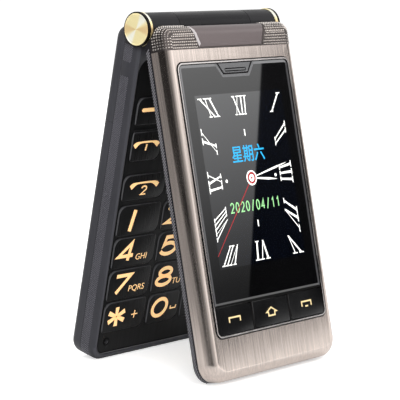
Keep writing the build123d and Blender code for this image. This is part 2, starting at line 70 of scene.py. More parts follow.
BODY_OF = {node: body for body, nodes in frame["record"]["behaviour"]["bodies"].items()
           for node in nodes}
SLOT_OF = {part["node"]: part["material_slot"] for part in frame["record"]["subparts"]}

Array = np.ndarray
Pair = tuple[float, float]
Triple = tuple[float, float, float]
Box = tuple[float, float, float, float]
Floats = Sequence[float]
Each = Union[float, Floats, Array]
Pairs = Sequence[Pair]
Line = Union[Array, Pairs]
Faces = list[tuple[int, ...]]
Colour = Triple
Socket = bpy.types.NodeSocket
Value = Union[float, Colour, Socket]
Looks = dict[str, Value]


# ---- the two frames
class Half(Enum):
    """The two halves, each with the joint of a key that is pressed square into it."""

    LID = "outer_key_home_press"
    BASE = "key_5_press"

    def __init__(self, press: str) -> None:
        """Works out how the half leans in the tent, from the key's axis and the hinge's place.

        Its matrix scales the drawing, turns it about the hinge and moves it.

        Args:
            press: The name of the key's slide joint.
        """
        joints = {joint["name"]: joint for joint in frame["joints"]}
        _, along, up = joints[press]["axis"]
        place = Matrix.Translation((0, *joints["lid_hinge"]["pos_m"][1:]))
        self.turn = math.pi / 2 + math.atan2(up, along)
        self.matrix = place @ Matrix.Rotation(self.turn, 4, "X") @ Matrix.Scale(MM, 4)

    @classmethod
    def of(cls, body: str) -> "Half":
        """The half that a body belongs to."""
        return cls.LID if body == "lid" or body.startswith("outer_key") else cls.BASE

    def tent(self, flat: Array) -> Array:
        """Points of the drawing, in the tent."""
        matrix = np.array(self.matrix)
        return flat @ matrix[:3, :3].T + matrix[:3, 3]

    def flat(self, tent: Array) -> Array:
        """Points of the tent, in the drawing."""
        matrix = np.array(self.matrix.inverted())
        return tent @ matrix[:3, :3].T + matrix[:3, 3]


def mesh_points(mesh: bpy.types.Mesh) -> Array:
    """A mesh's points, one to a row."""
    points = np.empty(len(mesh.vertices) * 3)
    mesh.vertices.foreach_get("co", points)
    return points.reshape(-1, 3)


def box_corners(left: float, right: float, near: float, far: float) -> Array:
    """The corners of a box given by distances from the hinge: near right first, then round."""
    return np.array([(right, -near), (left, -near), (left, -far), (right, -far)], float)


@dataclass(frozen=True)
class Span:
    """A node's box in the flat drawing, mm; near and far are distances from the hinge axis."""

    left: float
    right: float
    near: float
    far: float
    low: float
    high: float

    @classmethod
    def of(cls, node: str) -> "Span":
        """Measures a node in the drawing of its own half."""
        flat = Half.of(BODY_OF[node]).flat(mesh_points(frame["nodes"][node].data))
        low, high = flat.min(axis=0), flat.max(axis=0)
        return cls(low[0], high[0], -high[1], -low[1], low[2], high[2])

    @property
    def middle(self) -> Pair:
        """The centre, across and from the hinge."""
        return (self.left + self.right) / 2, (self.near + self.far) / 2

    @property
    def corners(self) -> Array:
        """The box's corners, anticlockwise."""
        return box_corners(self.left, self.right, self.near, self.far)


# ---- materials
def tone(red: int, green: int, blue: int) -> Colour:
    """A display colour from 0 to 255 as linear light: the sRGB curve undone."""
    parts = (red / 255, green / 255, blue / 255)
    return tuple(((part + 0.055) / 1.055) ** 2.4 if part > 0.04 else part / 12.92 for part in parts)


def shaded(colour: Colour, factor: float) -> Colour:
    """A colour made lighter or darker by a factor."""
    return tuple(part * factor for part in colour)


WHITE: Colour = (1.0, 1.0, 1.0)


class Tree:
    """A node tree, emptied and then joined up from plain calls."""

    def __init__(self, tree: bpy.types.NodeTree) -> None:
        """Takes over a tree and empties it."""
        self.nodes, self.links = tree.nodes, tree.links
        self.nodes.clear()

    def feed(self, value: Value, socket: Socket) -> None:
        """Links a socket's value, or sets a plain number or colour on it.

        Args:
            value: A socket to link, or a number, colour or vector.
            socket: The input that takes it.
        """
        if isinstance(value, bpy.types.NodeSocket):
            self.links.new(value, socket)
        elif socket.type == "RGBA":
            socket.default_value = (*value, 1.0)
        else:
            socket.default_value = value

    def add(self, kind: str, values: Union[Sequence[Value], Looks] = (),
            **options: Any) -> bpy.types.Node:
        """Adds a node.

        Args:
            kind: Its type, without the first word that all share.
            values: Its inputs, in order or by name.
            options: Its settings, by name.

        Returns:
            The node.
        """
        node = self.nodes.new(f"ShaderNode{kind}")
        for name, option in options.items():
            setattr(node, name, option)
        for key, value in values.items() if isinstance(values, dict) else enumerate(values):
            self.feed(value, node.inputs[key])
        return node

    def maths(self, kind: str, *values: Value) -> Socket:
        """One sum on numbers, by the name of Blender's operation."""
        return self.add("Math", values, operation=kind).outputs[0]

    def times(self, first: Value, second: Value) -> Socket:
        """The product of two numbers."""
        return self.maths("MULTIPLY", first, second)

    def blend(self, first: Socket, second: Socket, share: float) -> Socket:
        """A weighted mean of two numbers, the first with this share."""
        return self.maths("ADD", self.times(first, share), self.times(second, 1 - share))

    def ramp(self, value: Socket, start: float, end: float, first: float = 0.0,
             last: float = 1.0, kind: str = "SMOOTHSTEP") -> Socket:
        """A step from first to last as the value goes from start to end."""
        return self.add("MapRange", (value, start, end, first, last),
                        interpolation_type=kind).outputs["Result"]

    def mix(self, factor: Value, first: Value, second: Value) -> Socket:
        """The first colour where the factor is 0, the second where it is 1."""
        return self.add("Mix", {0: factor, 6: first, 7: second}, data_type="RGBA").outputs[2]

    def rays(self, *kinds: str) -> Socket:
        """1 for rays of any of these kinds and 0 for others.

        Args:
            kinds: Words for kinds of ray, as Blender's light path names them.

        Returns:
            The greatest of the kinds' own signs.
        """
        path = self.add("LightPath")
        total = path.outputs[f"Is {kinds[0]} Ray"]
        for kind in kinds[1:]:
            total = self.maths("MAXIMUM", total, path.outputs[f"Is {kind} Ray"])
        return total


class Shade(Tree):
    """One material's nodes, on drawing coordinates."""

    SOCKETS = {"colour": "Base Color", "metallic": "Metallic", "roughness": "Roughness",
               "normal": "Normal", "ior": "IOR", "specular": "Specular IOR Level",
               "coat": "Coat Weight", "coat_roughness": "Coat Roughness",
               "anisotropy": "Anisotropic", "tangent": "Tangent",
               "glow_colour": "Emission Color", "glow": "Emission Strength",
               "transmission": "Transmission Weight"}

    def __init__(self, name: str, half: Half) -> None:
        """Starts a material.

        Args:
            name: Its name.
            half: The half whose drawing gives the place of every point.
        """
        self.material = bpy.data.materials.new(name)
        self.material.use_nodes = True
        super().__init__(self.material.node_tree)
        self.turn = half.turn
        self.place = self.mapped(self.coordinates("Object"), (1 / MM,) * 3,
                                 half.matrix.inverted().translation, (-half.turn, 0, 0))

    def coordinates(self, kind: str) -> Socket:
        """Texture coordinates of one kind."""
        return self.add("TexCoord").outputs[kind]

    def mapped(self, vector: Socket, scale: Floats, shift: Floats = (0, 0, 0),
               turn: Floats = (0, 0, 0)) -> Socket:
        """Scales, turns and then moves a vector."""
        return self.add("Mapping", {"Vector": vector, "Scale": scale, "Location": shift,
                                    "Rotation": turn}).outputs["Vector"]

    def axes(self) -> tuple[Socket, ...]:
        """The x, y and z of the place in the drawing."""
        return tuple(self.add("SeparateXYZ", (self.place,)).outputs)

    def window(self, value: Socket, low: float, high: float, soft: float) -> Socket:
        """1 between low and high and 0 outside, with soft edges."""
        rise = self.ramp(value, low - soft, low + soft)
        return self.times(rise, self.ramp(value, high - soft, high + soft, 1.0, 0.0))

    def facing(self, way: Floats, low: float, high: float) -> Socket:
        """A step on how far the surface faces a way of the drawing, by the dot product."""
        turned = Matrix.Rotation(self.turn, 3, "X") @ Vector(way)
        node = self.add("VectorMath", (self.coordinates("Normal"), turned), operation="DOT_PRODUCT")
        return self.ramp(node.outputs["Value"], low, high)

    def noise(self, size: Floats, detail: float = 2.0, shift: float = 0.0) -> Socket:
        """Noise about 0.5 with grains of this size along x, y and z, mm."""
        grain = self.mapped(self.place, tuple(1 / part for part in size), (shift,) * 3)
        return self.add("TexNoise", {"Vector": grain, "Scale": 1.0,
                                     "Detail": detail}).outputs["Fac"]

    def varied(self, value: Socket, colour: Colour, low: float, high: float,
               start: float = 0.3, end: float = 0.7) -> Socket:
        """A colour times low to times high as the value goes from start to end."""
        return self.mix(self.ramp(value, start, end), shaded(colour, low), shaded(colour, high))

    def relief(self, height: Socket, depth: float) -> Socket:
        """Normals of a relief this deep, mm."""
        return self.add("Bump", {"Strength": 1.0, "Distance": depth * MM,
                                 "Height": height}).outputs["Normal"]

    def curve(self, value: Socket, stops: Pairs) -> Socket:
        """A strength that runs straight from stop to stop.

        The colour ramp holds each strength over the greatest, which is multiplied back in.

        Args:
            value: Where to read the curve.
            stops: Places, least first, each with its strength.

        Returns:
            The strength.
        """
        start, end = stops[0][0], stops[-1][0]
        ramp = self.add("ValToRGB", (self.ramp(value, start, end, kind="LINEAR"),))
        elements = ramp.color_ramp.elements
        top = max(strength for _, strength in stops)
        while len(elements) < len(stops):
            elements.new(0.5)
        for element, (place, strength) in zip(elements, stops):
            element.position = (place - start) / (end - start)
            element.color = (strength / top,) * 3 + (1,)
        return self.times(ramp.outputs["Color"], top)

    def ended(self, shader: bpy.types.Node) -> bpy.types.Material:
        """The material, with its surface set."""
        self.add("OutputMaterial", {"Surface": shader.outputs[0]})
        return self.material

    def dress(self, **looks: Value) -> bpy.types.Material:
        """Ends the material in one surface shader, with values by the words of SOCKETS."""
        values = {self.SOCKETS[word]: value for word, value in looks.items()}
        return self.ended(self.add("BsdfPrincipled", values))

    def light(self, strength: Socket) -> bpy.types.Material:
        """Ends the material in plain white light."""
        return self.ended(self.add("Emission", (WHITE, strength)))


@dataclass(frozen=True)
class Finish:
    """A named finish, painted once for each half that wears it."""

    name: str
    colour: Colour

    def looks(self, shade: Shade) -> Looks:
        """What the surface shader is given, by the words of Shade.SOCKETS."""
        raise NotImplementedError


@dataclass(frozen=True)
class Brushed(Finish):
    """Metal or lacquered metal with fine lines along the phone."""

    metallic: float = 1.0
    roughness: float = 0.36
    line: float = 0.5
    reach: float = 45.0
    depth: float = 0.006
    contrast: float = 0.2
    specular: float = 0.5
    # painted highlight: the colour of edges that face left or towards the hinge, if given
    edge: Optional[Colour] = None

    def looks(self, shade: Shade) -> Looks:
        """Streaks are noise stretched along y, in two widths; they shade, dull and groove.

        Edges that face left or towards the hinge are painted lighter, as a painted highlight:
        there the normal's dot product with (-1, 1, 0) over the root of 2, turned into the tent,
        is high.

        Args:
            shade: The material's nodes.

        Returns:
            The surface's values.
        """
        wide = shade.noise((self.line, self.reach, self.line), 3.0)
        hair = shade.noise((self.line * 0.3, self.reach * 0.4, self.line * 0.3), 2.0, 7.0)
        cloud = shade.noise((9, 30, 9), 1.0, 3.0)
        streaks = shade.blend(wide, hair, 0.6)
        rough = shade.maths("ADD", shade.ramp(hair, 0.3, 0.7, -0.07, 0.05),
                            shade.ramp(cloud, 0.3, 0.7, self.roughness - 0.02,
                                       self.roughness + 0.03))
        colour = shade.varied(streaks, self.colour, 1 - self.contrast, 1 + self.contrast,
                              0.36, 0.64)
        # painted highlight on edges that face left or towards the hinge
        if self.edge:
            colour = shade.mix(shade.facing((-0.7071, 0.7071, 0.0), 0.2, 0.45), colour, self.edge)
        return dict(colour=colour, metallic=self.metallic, roughness=rough,
                    specular=self.specular, normal=shade.relief(streaks, self.depth))


@dataclass(frozen=True)
class Moulded(Finish):
    """Satin moulded plastic with a fine spark-eroded grain."""

    roughness: float = 0.42
    grain: float = 0.22
    depth: float = 0.006
    specular: float = 0.5
    # painted light: the lighter colour of faces that look up in the drawing, if given
    top: Optional[Colour] = None
    knuckle: Optional[Colour] = None

    def looks(self, shade: Shade) -> Looks:
        """Grain is fine noise that dimples the surface; broad noise shifts tone and gloss.

        Where they are given, surfaces that face up in the drawing take the top's colour, which is
        painted light, and everything round the hinge takes the knuckle's.

        Args:
            shade: The material's nodes.

        Returns:
            The surface's values.
        """
        grain = shade.noise((self.grain,) * 3, 3.0)
        cloud = shade.noise((14, 22, 14), 2.0, 5.0)
        rough = shade.ramp(cloud, 0.3, 0.7, self.roughness - 0.04, self.roughness + 0.05)
        colour = shade.varied(shade.blend(grain, cloud, 0.5), self.colour, 0.9, 1.1, 0.38, 0.62)
        # painted light: faces that look up in the drawing take the lighter top colour
        if self.top:
            colour = shade.mix(shade.facing((0.0, 0.0, 1.0), 0.55, 0.9), colour, self.top)
        if self.knuckle:
            _, along, _ = shade.axes()
            colour = shade.mix(shade.ramp(along, -7.0, -4.6), colour, self.knuckle)
        return dict(colour=colour, roughness=rough, specular=self.specular,
                    normal=shade.relief(grain, self.depth))


@dataclass(frozen=True)
class Lacquered(Finish):
    """Lacquer with fine metal flakes under a clear coat, and a painted highlight on its left bevel."""

    metallic: float = 0.55
    roughness: float = 0.38
    coat: float = 0.35
    # painted highlight: the colour of the bevel that faces left
    edge: Colour = tone(184, 178, 178)

    def looks(self, shade: Shade) -> Looks:
        """Flakes are fine noise that lifts the tone and tips the normals a little.

        The bevel that faces left is painted bright, a painted highlight: there the normal's dot
        product with (-1, 0, 0), turned into the tent, is high.

        Args:
            shade: The material's nodes.

        Returns:
            The surface's values.
        """
        flakes = shade.noise((0.09,) * 3)
        cloud = shade.noise((12,) * 3, 2.0, 4.0)
        colour = shade.varied(flakes, self.colour, 0.88, 1.14, 0.35, 0.7)
        # painted highlight on the bevel that faces left
        colour = shade.mix(shade.facing((-1.0, 0.0, 0.0), 0.2, 0.36), colour, self.edge)
        rough = shade.ramp(cloud, 0.3, 0.7, self.roughness - 0.03, self.roughness + 0.04)
        return dict(colour=colour, metallic=self.metallic, roughness=rough, coat=self.coat,
                    coat_roughness=0.18, normal=shade.relief(flakes, 0.003))


@dataclass(frozen=True)
class Grained(Finish):
    """A plain surface: clouds vary its tone and gloss, and waves or hairlines are its relief."""

    gloss: Pair
    metallic: float = 1.0
    clouds: tuple[Floats, float, float] = ((6, 9, 6), 3.0, 0.0)
    waves: tuple[Floats, float, float] = ((0.12, 6, 0.12), 2.0, 2.0)
    depth: float = 0.0015

    def looks(self, shade: Shade) -> Looks:
        """Both are noise, given by grain size, detail and shift.

        Args:
            shade: The material's nodes.

        Returns:
            The surface's values.
        """
        clouds, waves = shade.noise(*self.clouds), shade.noise(*self.waves)
        return dict(colour=shade.varied(clouds, self.colour, 0.92, 1.06), metallic=self.metallic,
                    roughness=shade.ramp(clouds, 0.3, 0.7, *self.gloss),
                    normal=shade.relief(waves, self.depth))


@dataclass(frozen=True)
class Glass(Finish):
    """Near-black glass with a lighter edge outside a plain box, a painted reflection of its bevel."""

    plain: Box = (-100, 100, -200, 200)
    # painted reflection: the colour of the edge outside the plain box
    edge: Colour = tone(74, 74, 76)
    ior: float = 2.0
    roughness: float = 0.012

    def looks(self, shade: Shade) -> Looks:
        """The plain box is soft-edged in x and y; faint smears vary the gloss.

        Args:
            shade: The material's nodes.

        Returns:
            The surface's values.
        """
        left, right, near, far = self.plain
        across, along, _ = shade.axes()
        inside = shade.times(shade.window(across, left, right, 0.08),
                             shade.window(along, -far, -near, 0.08))
        smear = shade.noise((18, 30, 18), 3.0)
        tint = shade.varied(smear, self.colour, 0.9, 1.15)
        rough = shade.ramp(smear, 0.3, 0.75, self.roughness * 0.7, self.roughness * 1.6)
        # painted reflection: outside the plain box the glass takes the lighter edge colour
        return dict(colour=shade.mix(inside, self.edge, tint), ior=self.ior, roughness=rough)


@dataclass(frozen=True)
class Turned(Finish):
    """Metal faced on a lathe, with fine rings about the hinge axis and painted highlight wedges."""

    wedge: Colour = tone(255, 254, 240)
    warm: Colour = tone(236, 206, 152)
    wedge_angle: float = 29.0
    warm_angle: float = 79.0
    metallic: float = 0.62
    roughness: float = 0.24
    anisotropy: float = 0.5

    def looks(self, shade: Shade) -> Looks:
        """Rings are noise in the distance from the axis; the tangent runs round the axis.

        The tangent at (y, z) is (-z, y) over the distance, turned into the tent. A paler and a
        warmer pair of wedges, painted highlights, follow the cosine of twice the angle from each
        pair's middle.

        Args:
            shade: The material's nodes.

        Returns:
            The surface's values.
        """
        _, along, height = shade.axes()
        square = shade.maths("ADD", shade.times(along, along), shade.times(height, height))
        distance = shade.maths("MAXIMUM", shade.maths("SQRT", square), 0.02)
        ring = shade.add("TexNoise", {"W": distance, "Scale": 7.0, "Detail": 3.0},
                         noise_dimensions="1D").outputs["Fac"]
        back = shade.maths("DIVIDE", shade.times(height, -1.0), distance)
        round_axis = shade.add("CombineXYZ", (0.0, back, shade.maths("DIVIDE", along, distance)))
        tangent = shade.add("VectorRotate", {"Vector": round_axis.outputs[0],
                                             "Angle": shade.turn}, rotation_type="X_AXIS")
        angle = shade.maths("ARCTAN2", height, along)
        # painted highlights: pale and warm wedges round the axis
        painted_wedges: Value = self.colour
        for middle, tint in ((self.wedge_angle, self.wedge), (self.warm_angle, self.warm)):
            turns = shade.times(shade.maths("SUBTRACT", angle, math.radians(middle)), 2.0)
            painted_wedges = shade.mix(shade.ramp(shade.maths("COSINE", turns), 0.6, 1.0), painted_wedges, tint)
        grooves = shade.ramp(ring, 0.35, 0.65, 0.0, 0.12)
        return dict(colour=shade.mix(grooves, painted_wedges, shaded(self.colour, 0.5)),
                    metallic=self.metallic, roughness=self.roughness,
                    anisotropy=self.anisotropy, tangent=tangent.outputs["Vector"],
                    normal=shade.relief(ring, 0.004))


@dataclass(frozen=True)
class Ink(Finish):
    """Printed legend colour, a little uneven, part of it given off as light.

    On the keys' legends and icons the glow is painted light; on the dial it is the display's.
    """

    glow: float = 0.35
    roughness: float = 0.3

    def looks(self, shade: Shade) -> Looks:
        """Fine noise varies the print; part of the colour is given off."""
        colour = shade.varied(shade.noise((0.35,) * 3), self.colour, 0.93, 1.03)
        return dict(colour=colour, roughness=self.roughness, glow_colour=colour, glow=self.glow)


@dataclass(frozen=True)
class Laminate(Finish):
    """Circuit board: green laminate with pale traces and gold pads."""

    trace: Colour = tone(90, 150, 105)
    pad: Colour = tone(214, 178, 96)

    def looks(self, shade: Shade) -> Looks:
        """Traces are the thin edges of stretched cells, pads are the hearts of small ones.

        Args:
            shade: The material's nodes.

        Returns:
            The surface's values.
        """
        trace, pad = (shade.add("TexVoronoi", {"Vector": shade.mapped(shade.place, scale),
                                               "Scale": 1.0}, **kind).outputs["Distance"]
                      for scale, kind in (((0.45, 0.25, 0.45), {"feature": "DISTANCE_TO_EDGE"}),
                                          ((0.5, 0.5, 0.5), {"distance": "CHEBYCHEV"})))
        lines = shade.ramp(trace, 0.04, 0.07, 1.0, 0.0)
        spots = shade.ramp(pad, 0.14, 0.17, 1.0, 0.0)
        green = shade.mix(lines, self.colour, self.trace)
        return dict(colour=shade.mix(spots, green, self.pad), roughness=0.4, coat=0.3,
                    coat_roughness=0.2, normal=shade.relief(lines, 0.02))


@dataclass(frozen=True)
class ClearLens(Finish):
    """A clear moulded lens with fine ribs."""

    def looks(self, shade: Shade) -> Looks:
        """Ribs are noise stretched across the lens."""
        return dict(colour=self.colour, roughness=0.12, ior=1.49, transmission=0.5,
                    normal=shade.relief(shade.noise((3, 0.25, 3), 1.0), 0.02))


LID_METAL = Brushed("lid_brushed_metal", tone(216, 203, 195), roughness=0.19, line=0.4,
                    reach=30, depth=0.003, contrast=0.12)
BAND_METAL = Grained("band_bright_metal", tone(236, 228, 222), (0.192, 0.312), 0.9)
# painted shadow in the band's grooves; its top colour is painted light on faces that look up
BAND_FLOOR = Moulded("band_groove_shadow", tone(32, 29, 28), roughness=0.6, specular=0.15,
                     top=tone(76, 70, 68))
# its left bevel takes a painted highlight
COVER_LACQUER = Lacquered("cover_taupe_lacquer", tone(98, 87, 87), metallic=0.35, roughness=0.34)
TRIM = Glass("dark_trim", tone(8, 6, 6), roughness=0.25, ior=1.2)
# a bright bead that paints the highlight on the trim's edge
TRIM_HIGHLIGHT_BEAD = Grained("trim_bright_bead", tone(226, 220, 218), (0.16, 0.26))
# outside its plain box, a painted reflection of the glass's bevel
FACE_GLASS = Glass("face_glass", tone(7, 7, 8), (-24.0, 24.0, 13.6, 84.5))
PANE_GLASS = Glass("display_glass", tone(3, 5, 12), ior=2.6)
TAB_GLASS = Glass("tab_glass", tone(72, 72, 74), roughness=0.06)
# a painted reflection of the glass's bevel round the tab
BEVEL_REFLECTION_GLASS = Glass("ground_edge_glass", tone(84, 84, 86), roughness=0.05)
INNER_GLASS = Glass("inner_glass", tone(8, 8, 10), ior=1.6)
PANEL = Glass("display_panel", tone(14, 15, 20), ior=1.6)
SHELL = Moulded("shell_dark_plastic", tone(46, 46, 50), specular=0.24)
# top: painted light on faces that look up; knuckle: the barrel's own tone
FRONT_SHELL = Moulded("front_shell_dark_plastic", tone(43, 43, 47), specular=0.22,
                      top=tone(60, 60, 65), knuckle=tone(24, 23, 26))
CROSSHATCH = Moulded("shell_crosshatch", tone(80, 79, 85), roughness=0.4, specular=0.35)
RIDGES = Moulded("tray_ridge_plastic", tone(96, 95, 99), roughness=0.4, specular=0.4)
BARREL = Moulded("barrel_dark_plastic", tone(20, 19, 22), roughness=0.28, depth=0.003,
                 specular=0.16)
# the plate's and the keys' edge colours are painted highlights on edges facing left or the hinge
PLATE = Brushed("keypad_dark_plate", tone(16, 16, 17), metallic=0.0, roughness=0.42,
                line=0.7, reach=30, depth=0.008, contrast=0.3, specular=0.18, edge=tone(60, 60, 62))
KEYS = Brushed("key_dark_caps", tone(20, 20, 21), metallic=0.0, roughness=0.34, line=0.5,
               reach=25, depth=0.005, contrast=0.25, specular=0.22, edge=tone(62, 62, 64))
# a pale line round the plate: painted highlight
RIM_HIGHLIGHT = Moulded("rim_pale_line", tone(84, 84, 86), specular=0.3)
# dark bands in gaps and recesses: painted shade
GAP_SHADE = Moulded("dark_gap", tone(8, 8, 8), roughness=0.55, specular=0.08)
FACE_KEYS = Glass("face_key_gloss", tone(12, 12, 13), roughness=0.09, ior=1.6)
# gold with painted highlight wedges
GOLD = Turned("gold_turned", tone(255, 240, 184))
# a dark collar round the cap's disc: painted shadow
COLLAR_SHADOW = Moulded("cap_groove_dark", tone(14, 11, 8), roughness=0.5, specular=0.15)
STEEL = Grained("plain_steel", tone(172, 172, 174), (0.24, 0.39))
BOARD = Laminate("board_laminate", tone(20, 92, 58))
FINE, WAVY = ((0.5,) * 3, 3.0, 3.0), ((6.0,) * 3, 1.0, 0.0)
RIBBON = Grained("ribbon_film", tone(196, 126, 40), (0.25, 0.36), 0.0, FINE, WAVY, 0.01)
RUBBER = Grained("black_rubber", tone(38, 38, 38), (0.65, 0.76), 0.0, FINE,
                 ((2.0,) * 3, 1.0, 0.0), 0.01)
WRAP = Grained("battery_wrap", tone(206, 208, 212), (0.37, 0.48), 0.0, FINE, WAVY, 0.02)
LAMP = ClearLens("lamp_lens", tone(240, 238, 220))
# the legends' and icons' glow is painted light that brightens the print
LEGEND = Ink("legend_amber", tone(255, 208, 146), glow=0.4)
ICON = Ink("icon_pale_gold", tone(212, 190, 140), glow=0.42)
DIAL_WHITE = Ink("dial_white", tone(244, 244, 240), glow=0.75, roughness=0.08)
DIAL_RED = Ink("dial_red", tone(146, 40, 44), glow=0.5, roughness=0.08)
DIAL_BLUE = Ink("dial_blue", tone(36, 146, 196), glow=0.8, roughness=0.08)
DIAL_GREEN = Ink("dial_green", tone(134, 190, 130), glow=0.8, roughness=0.08)

SLOT_FINISH = {
    "lid_frame": LID_METAL, "knurled_metal": BAND_FLOOR, "taupe_cover": COVER_LACQUER,
    "dark_chrome": TRIM, "dark_glass": INNER_GLASS, "display": PANEL, "dark_shell": SHELL,
    "barrel_shell": BARREL, "keypad_metal": PLATE, "keys": KEYS, "gold": GOLD, "steel": STEEL,
    "circuit": BOARD, "ribbon": RIBBON, "rubber": RUBBER, "battery_wrap": WRAP, "lamp_lens": LAMP,
}
PAINTED: dict[tuple[Finish, Half], bpy.types.Material] = {}


def painted(finish: Finish, half: Half) -> bpy.types.Material:
    """The material of a finish on one half, made the first time it is asked for."""
    if (finish, half) not in PAINTED:
        shade = Shade(f"{finish.name}_{half.name.lower()}", half)
        PAINTED[finish, half] = shade.dress(**finish.looks(shade))
    return PAINTED[finish, half]


# ---- shapes in the flat drawing
@dataclass
class Shape:
    """Points of the drawing and the faces between them."""

    points: Array
    faces: Faces

    @classmethod
    def joined(cls, shapes: Sequence["Shape"]) -> "Shape":
        """Several shapes as one, each one's faces counted on from the last."""
        starts = np.cumsum([0] + [len(shape.points) for shape in shapes])
        faces = [tuple(index + start for index in face)
                 for shape, start in zip(shapes, starts) for face in shape.faces]
        return cls(np.concatenate([shape.points for shape in shapes]), faces)


def unit(vectors: Array) -> Array:
    """Each row over its length."""
    return vectors / np.linalg.norm(vectors, axis=1, keepdims=True)


def leftward(vectors: Array) -> Array:
    """Each flat row (x, y) turned a quarter to the left: (-y, x)."""
    return np.column_stack((-vectors[:, 1], vectors[:, 0]))


def raised(flat: Array, height: float) -> Array:
    """Flat rows with one height added as z."""
    return np.column_stack((flat, np.full(len(flat), height)))


def tuples(faces: Array) -> Faces:
    """Rows of point numbers as a list of faces."""
    return [tuple(face) for face in faces.tolist()]


def grid_faces(rows: int, columns: int, loop_rows: bool = False,
               loop_columns: bool = False) -> Faces:
    """Quads of a grid whose point in row r and column c is number r * columns + c.

    Args:
        rows: How many rows of points.
        columns: How many points in a row.
        loop_rows: Whether the last row joins the first.
        loop_columns: Whether each row's last point joins its first.

    Returns:
        The quads.
    """
    row = np.arange(rows if loop_rows else rows - 1)[:, None]
    column = np.arange(columns if loop_columns else columns - 1)[None, :]
    next_row, next_column = (row + 1) % rows, (column + 1) % columns
    corners = (row * columns + column, row * columns + next_column,
               next_row * columns + next_column, next_row * columns + column)
    return tuples(np.stack(np.broadcast_arrays(*corners), axis=-1).reshape(-1, 4))


def block_faces(count: int) -> Faces:
    """Faces of blocks, each with four points round its foot and then four round its top."""
    block = np.array([(3, 2, 1, 0), (4, 5, 6, 7), (0, 1, 5, 4), (1, 2, 6, 5), (2, 3, 7, 6),
                      (3, 0, 4, 7)])
    return tuples((block[None] + 8 * np.arange(count)[:, None, None]).reshape(-1, 4))


def prisms(quads: Array, low: float, high: float) -> Shape:
    """Flat four-cornered plates, each closed all round.

    Corners are put anticlockwise by the sign of the shoelace area, then drawn at both heights.

    Args:
        quads: Corners, as an array of plates by 4 by 2.
        low: Height of the underside.
        high: Height of the top.

    Returns:
        The plates as one shape.
    """
    following = np.roll(quads, -1, axis=1)
    area = (quads[..., 0] * following[..., 1] - following[..., 0] * quads[..., 1]).sum(axis=1)
    quads = np.where((area < 0)[:, None, None], quads[:, ::-1], quads)
    count = len(quads)
    levels = [np.concatenate([quads, np.full((count, 4, 1), height)], axis=2)
              for height in (low, high)]
    return Shape(np.concatenate(levels, axis=1).reshape(-1, 3), block_faces(count))


def ribbon(path: Line, widths: Each, low: float, high: float, closed: bool = False) -> Shape:
    """A flat band along a path: a small rectangle carried along it.

    Each point's side direction is square to the mean of the steps before and after it, and is
    lengthened by one over the cosine of half the bend, so that straight runs keep their width.

    Args:
        path: Points of the path, count by 2.
        widths: The band's width, or one width for each point.
        low: Height of the underside.
        high: Height of the top.
        closed: Whether the path's end joins its start.

    Returns:
        The closed band.
    """
    path = np.asarray(path, float)
    count = len(path)
    steps = np.roll(path, -1, axis=0) - path
    if not closed:
        steps[-1] = steps[-2]
    steps = unit(steps)
    before = np.roll(steps, 1, axis=0)
    if not closed:
        before[0] = steps[0]
    mean = unit(steps + before)
    bend = np.clip((mean * steps).sum(axis=1), 0.4, 1.0)[:, None]
    half = np.broadcast_to(np.asarray(widths, float) / 2, (count,))[:, None]
    aside = leftward(mean) / bend * half
    left, right = path + aside, path - aside
    rows = [raised(left, low), raised(right, low), raised(right, high), raised(left, high)]
    faces = grid_faces(count, 4, closed, True)
    if not closed:
        last = 4 * (count - 1)
        faces += [(3, 2, 1, 0), (last, last + 1, last + 2, last + 3)]
    return Shape(np.stack(rows, axis=1).reshape(-1, 3), faces)


def stacked(loops: Sequence[tuple[Array, float]]) -> Shape:
    """Joins outlines at heights, lowest first, into a closed solid with flat ends.

    Args:
        loops: Outlines of the same number of points, anticlockwise, each with its height.

    Returns:
        The solid.
    """
    count, top = len(loops[0][0]), len(loops[0][0]) * (len(loops) - 1)
    points = np.concatenate([raised(edge, height) for edge, height in loops])
    ends = [tuple(range(count - 1, -1, -1)), tuple(range(top, top + count))]
    return Shape(points, ends + grid_faces(len(loops), count, False, True))


def plate(edge: Array, low: float, high: float) -> Shape:
    """A flat plate with one outline, given anticlockwise."""
    return stacked([(edge, low), (edge, high)])


def inset(corners: Array, room: float) -> Array:
    """The corners of a convex outline moved in, so that every edge lies this much inside.

    Each edge's line is n . p = c, with n pointing out; the new corner solves the lines of its
    two edges with c less the room.

    Args:
        corners: Corners, anticlockwise.
        room: How far in, negative for out.

    Returns:
        The new corners.
    """
    out = -leftward(unit(np.roll(corners, -1, axis=0) - corners))
    level = (out * corners).sum(axis=1) - room
    pair = np.stack((np.roll(out, 1, axis=0), out), axis=1)
    return np.linalg.solve(pair, np.stack((np.roll(level, 1), level), axis=1)[..., None])[..., 0]


def rounded(corners: Array, radii: Each, steps: int = 8) -> Array:
    """An outline with round corners: at each one an arc that touches both edges.

    The arc's middle lies on the corner's bisector, r over the sine of half the corner's angle
    away, and the arc runs between the two edges' outward directions.

    Args:
        corners: Corners, anticlockwise.
        radii: The corners' radius, or one radius for each.
        steps: Points of each arc, less one.

    Returns:
        The outline's points, anticlockwise, the same count for any corners.
    """
    ahead = unit(np.roll(corners, -1, axis=0) - corners)
    behind = np.roll(ahead, 1, axis=0)
    radius = np.broadcast_to(np.asarray(radii, float), (len(corners),))[:, None]
    turn = np.arctan2(behind[:, 0] * ahead[:, 1] - behind[:, 1] * ahead[:, 0],
                      (behind * ahead).sum(axis=1))[:, None]
    inward = leftward(behind)
    middle = corners - behind * radius * np.tan(turn / 2) + inward * radius
    start = np.arctan2(-inward[:, 1], -inward[:, 0])[:, None]
    angle = start + turn * np.linspace(0, 1, steps + 1)[None]
    points = middle[:, None] + radius[..., None] * np.stack((np.cos(angle), np.sin(angle)), -1)
    return points.reshape(-1, 2)


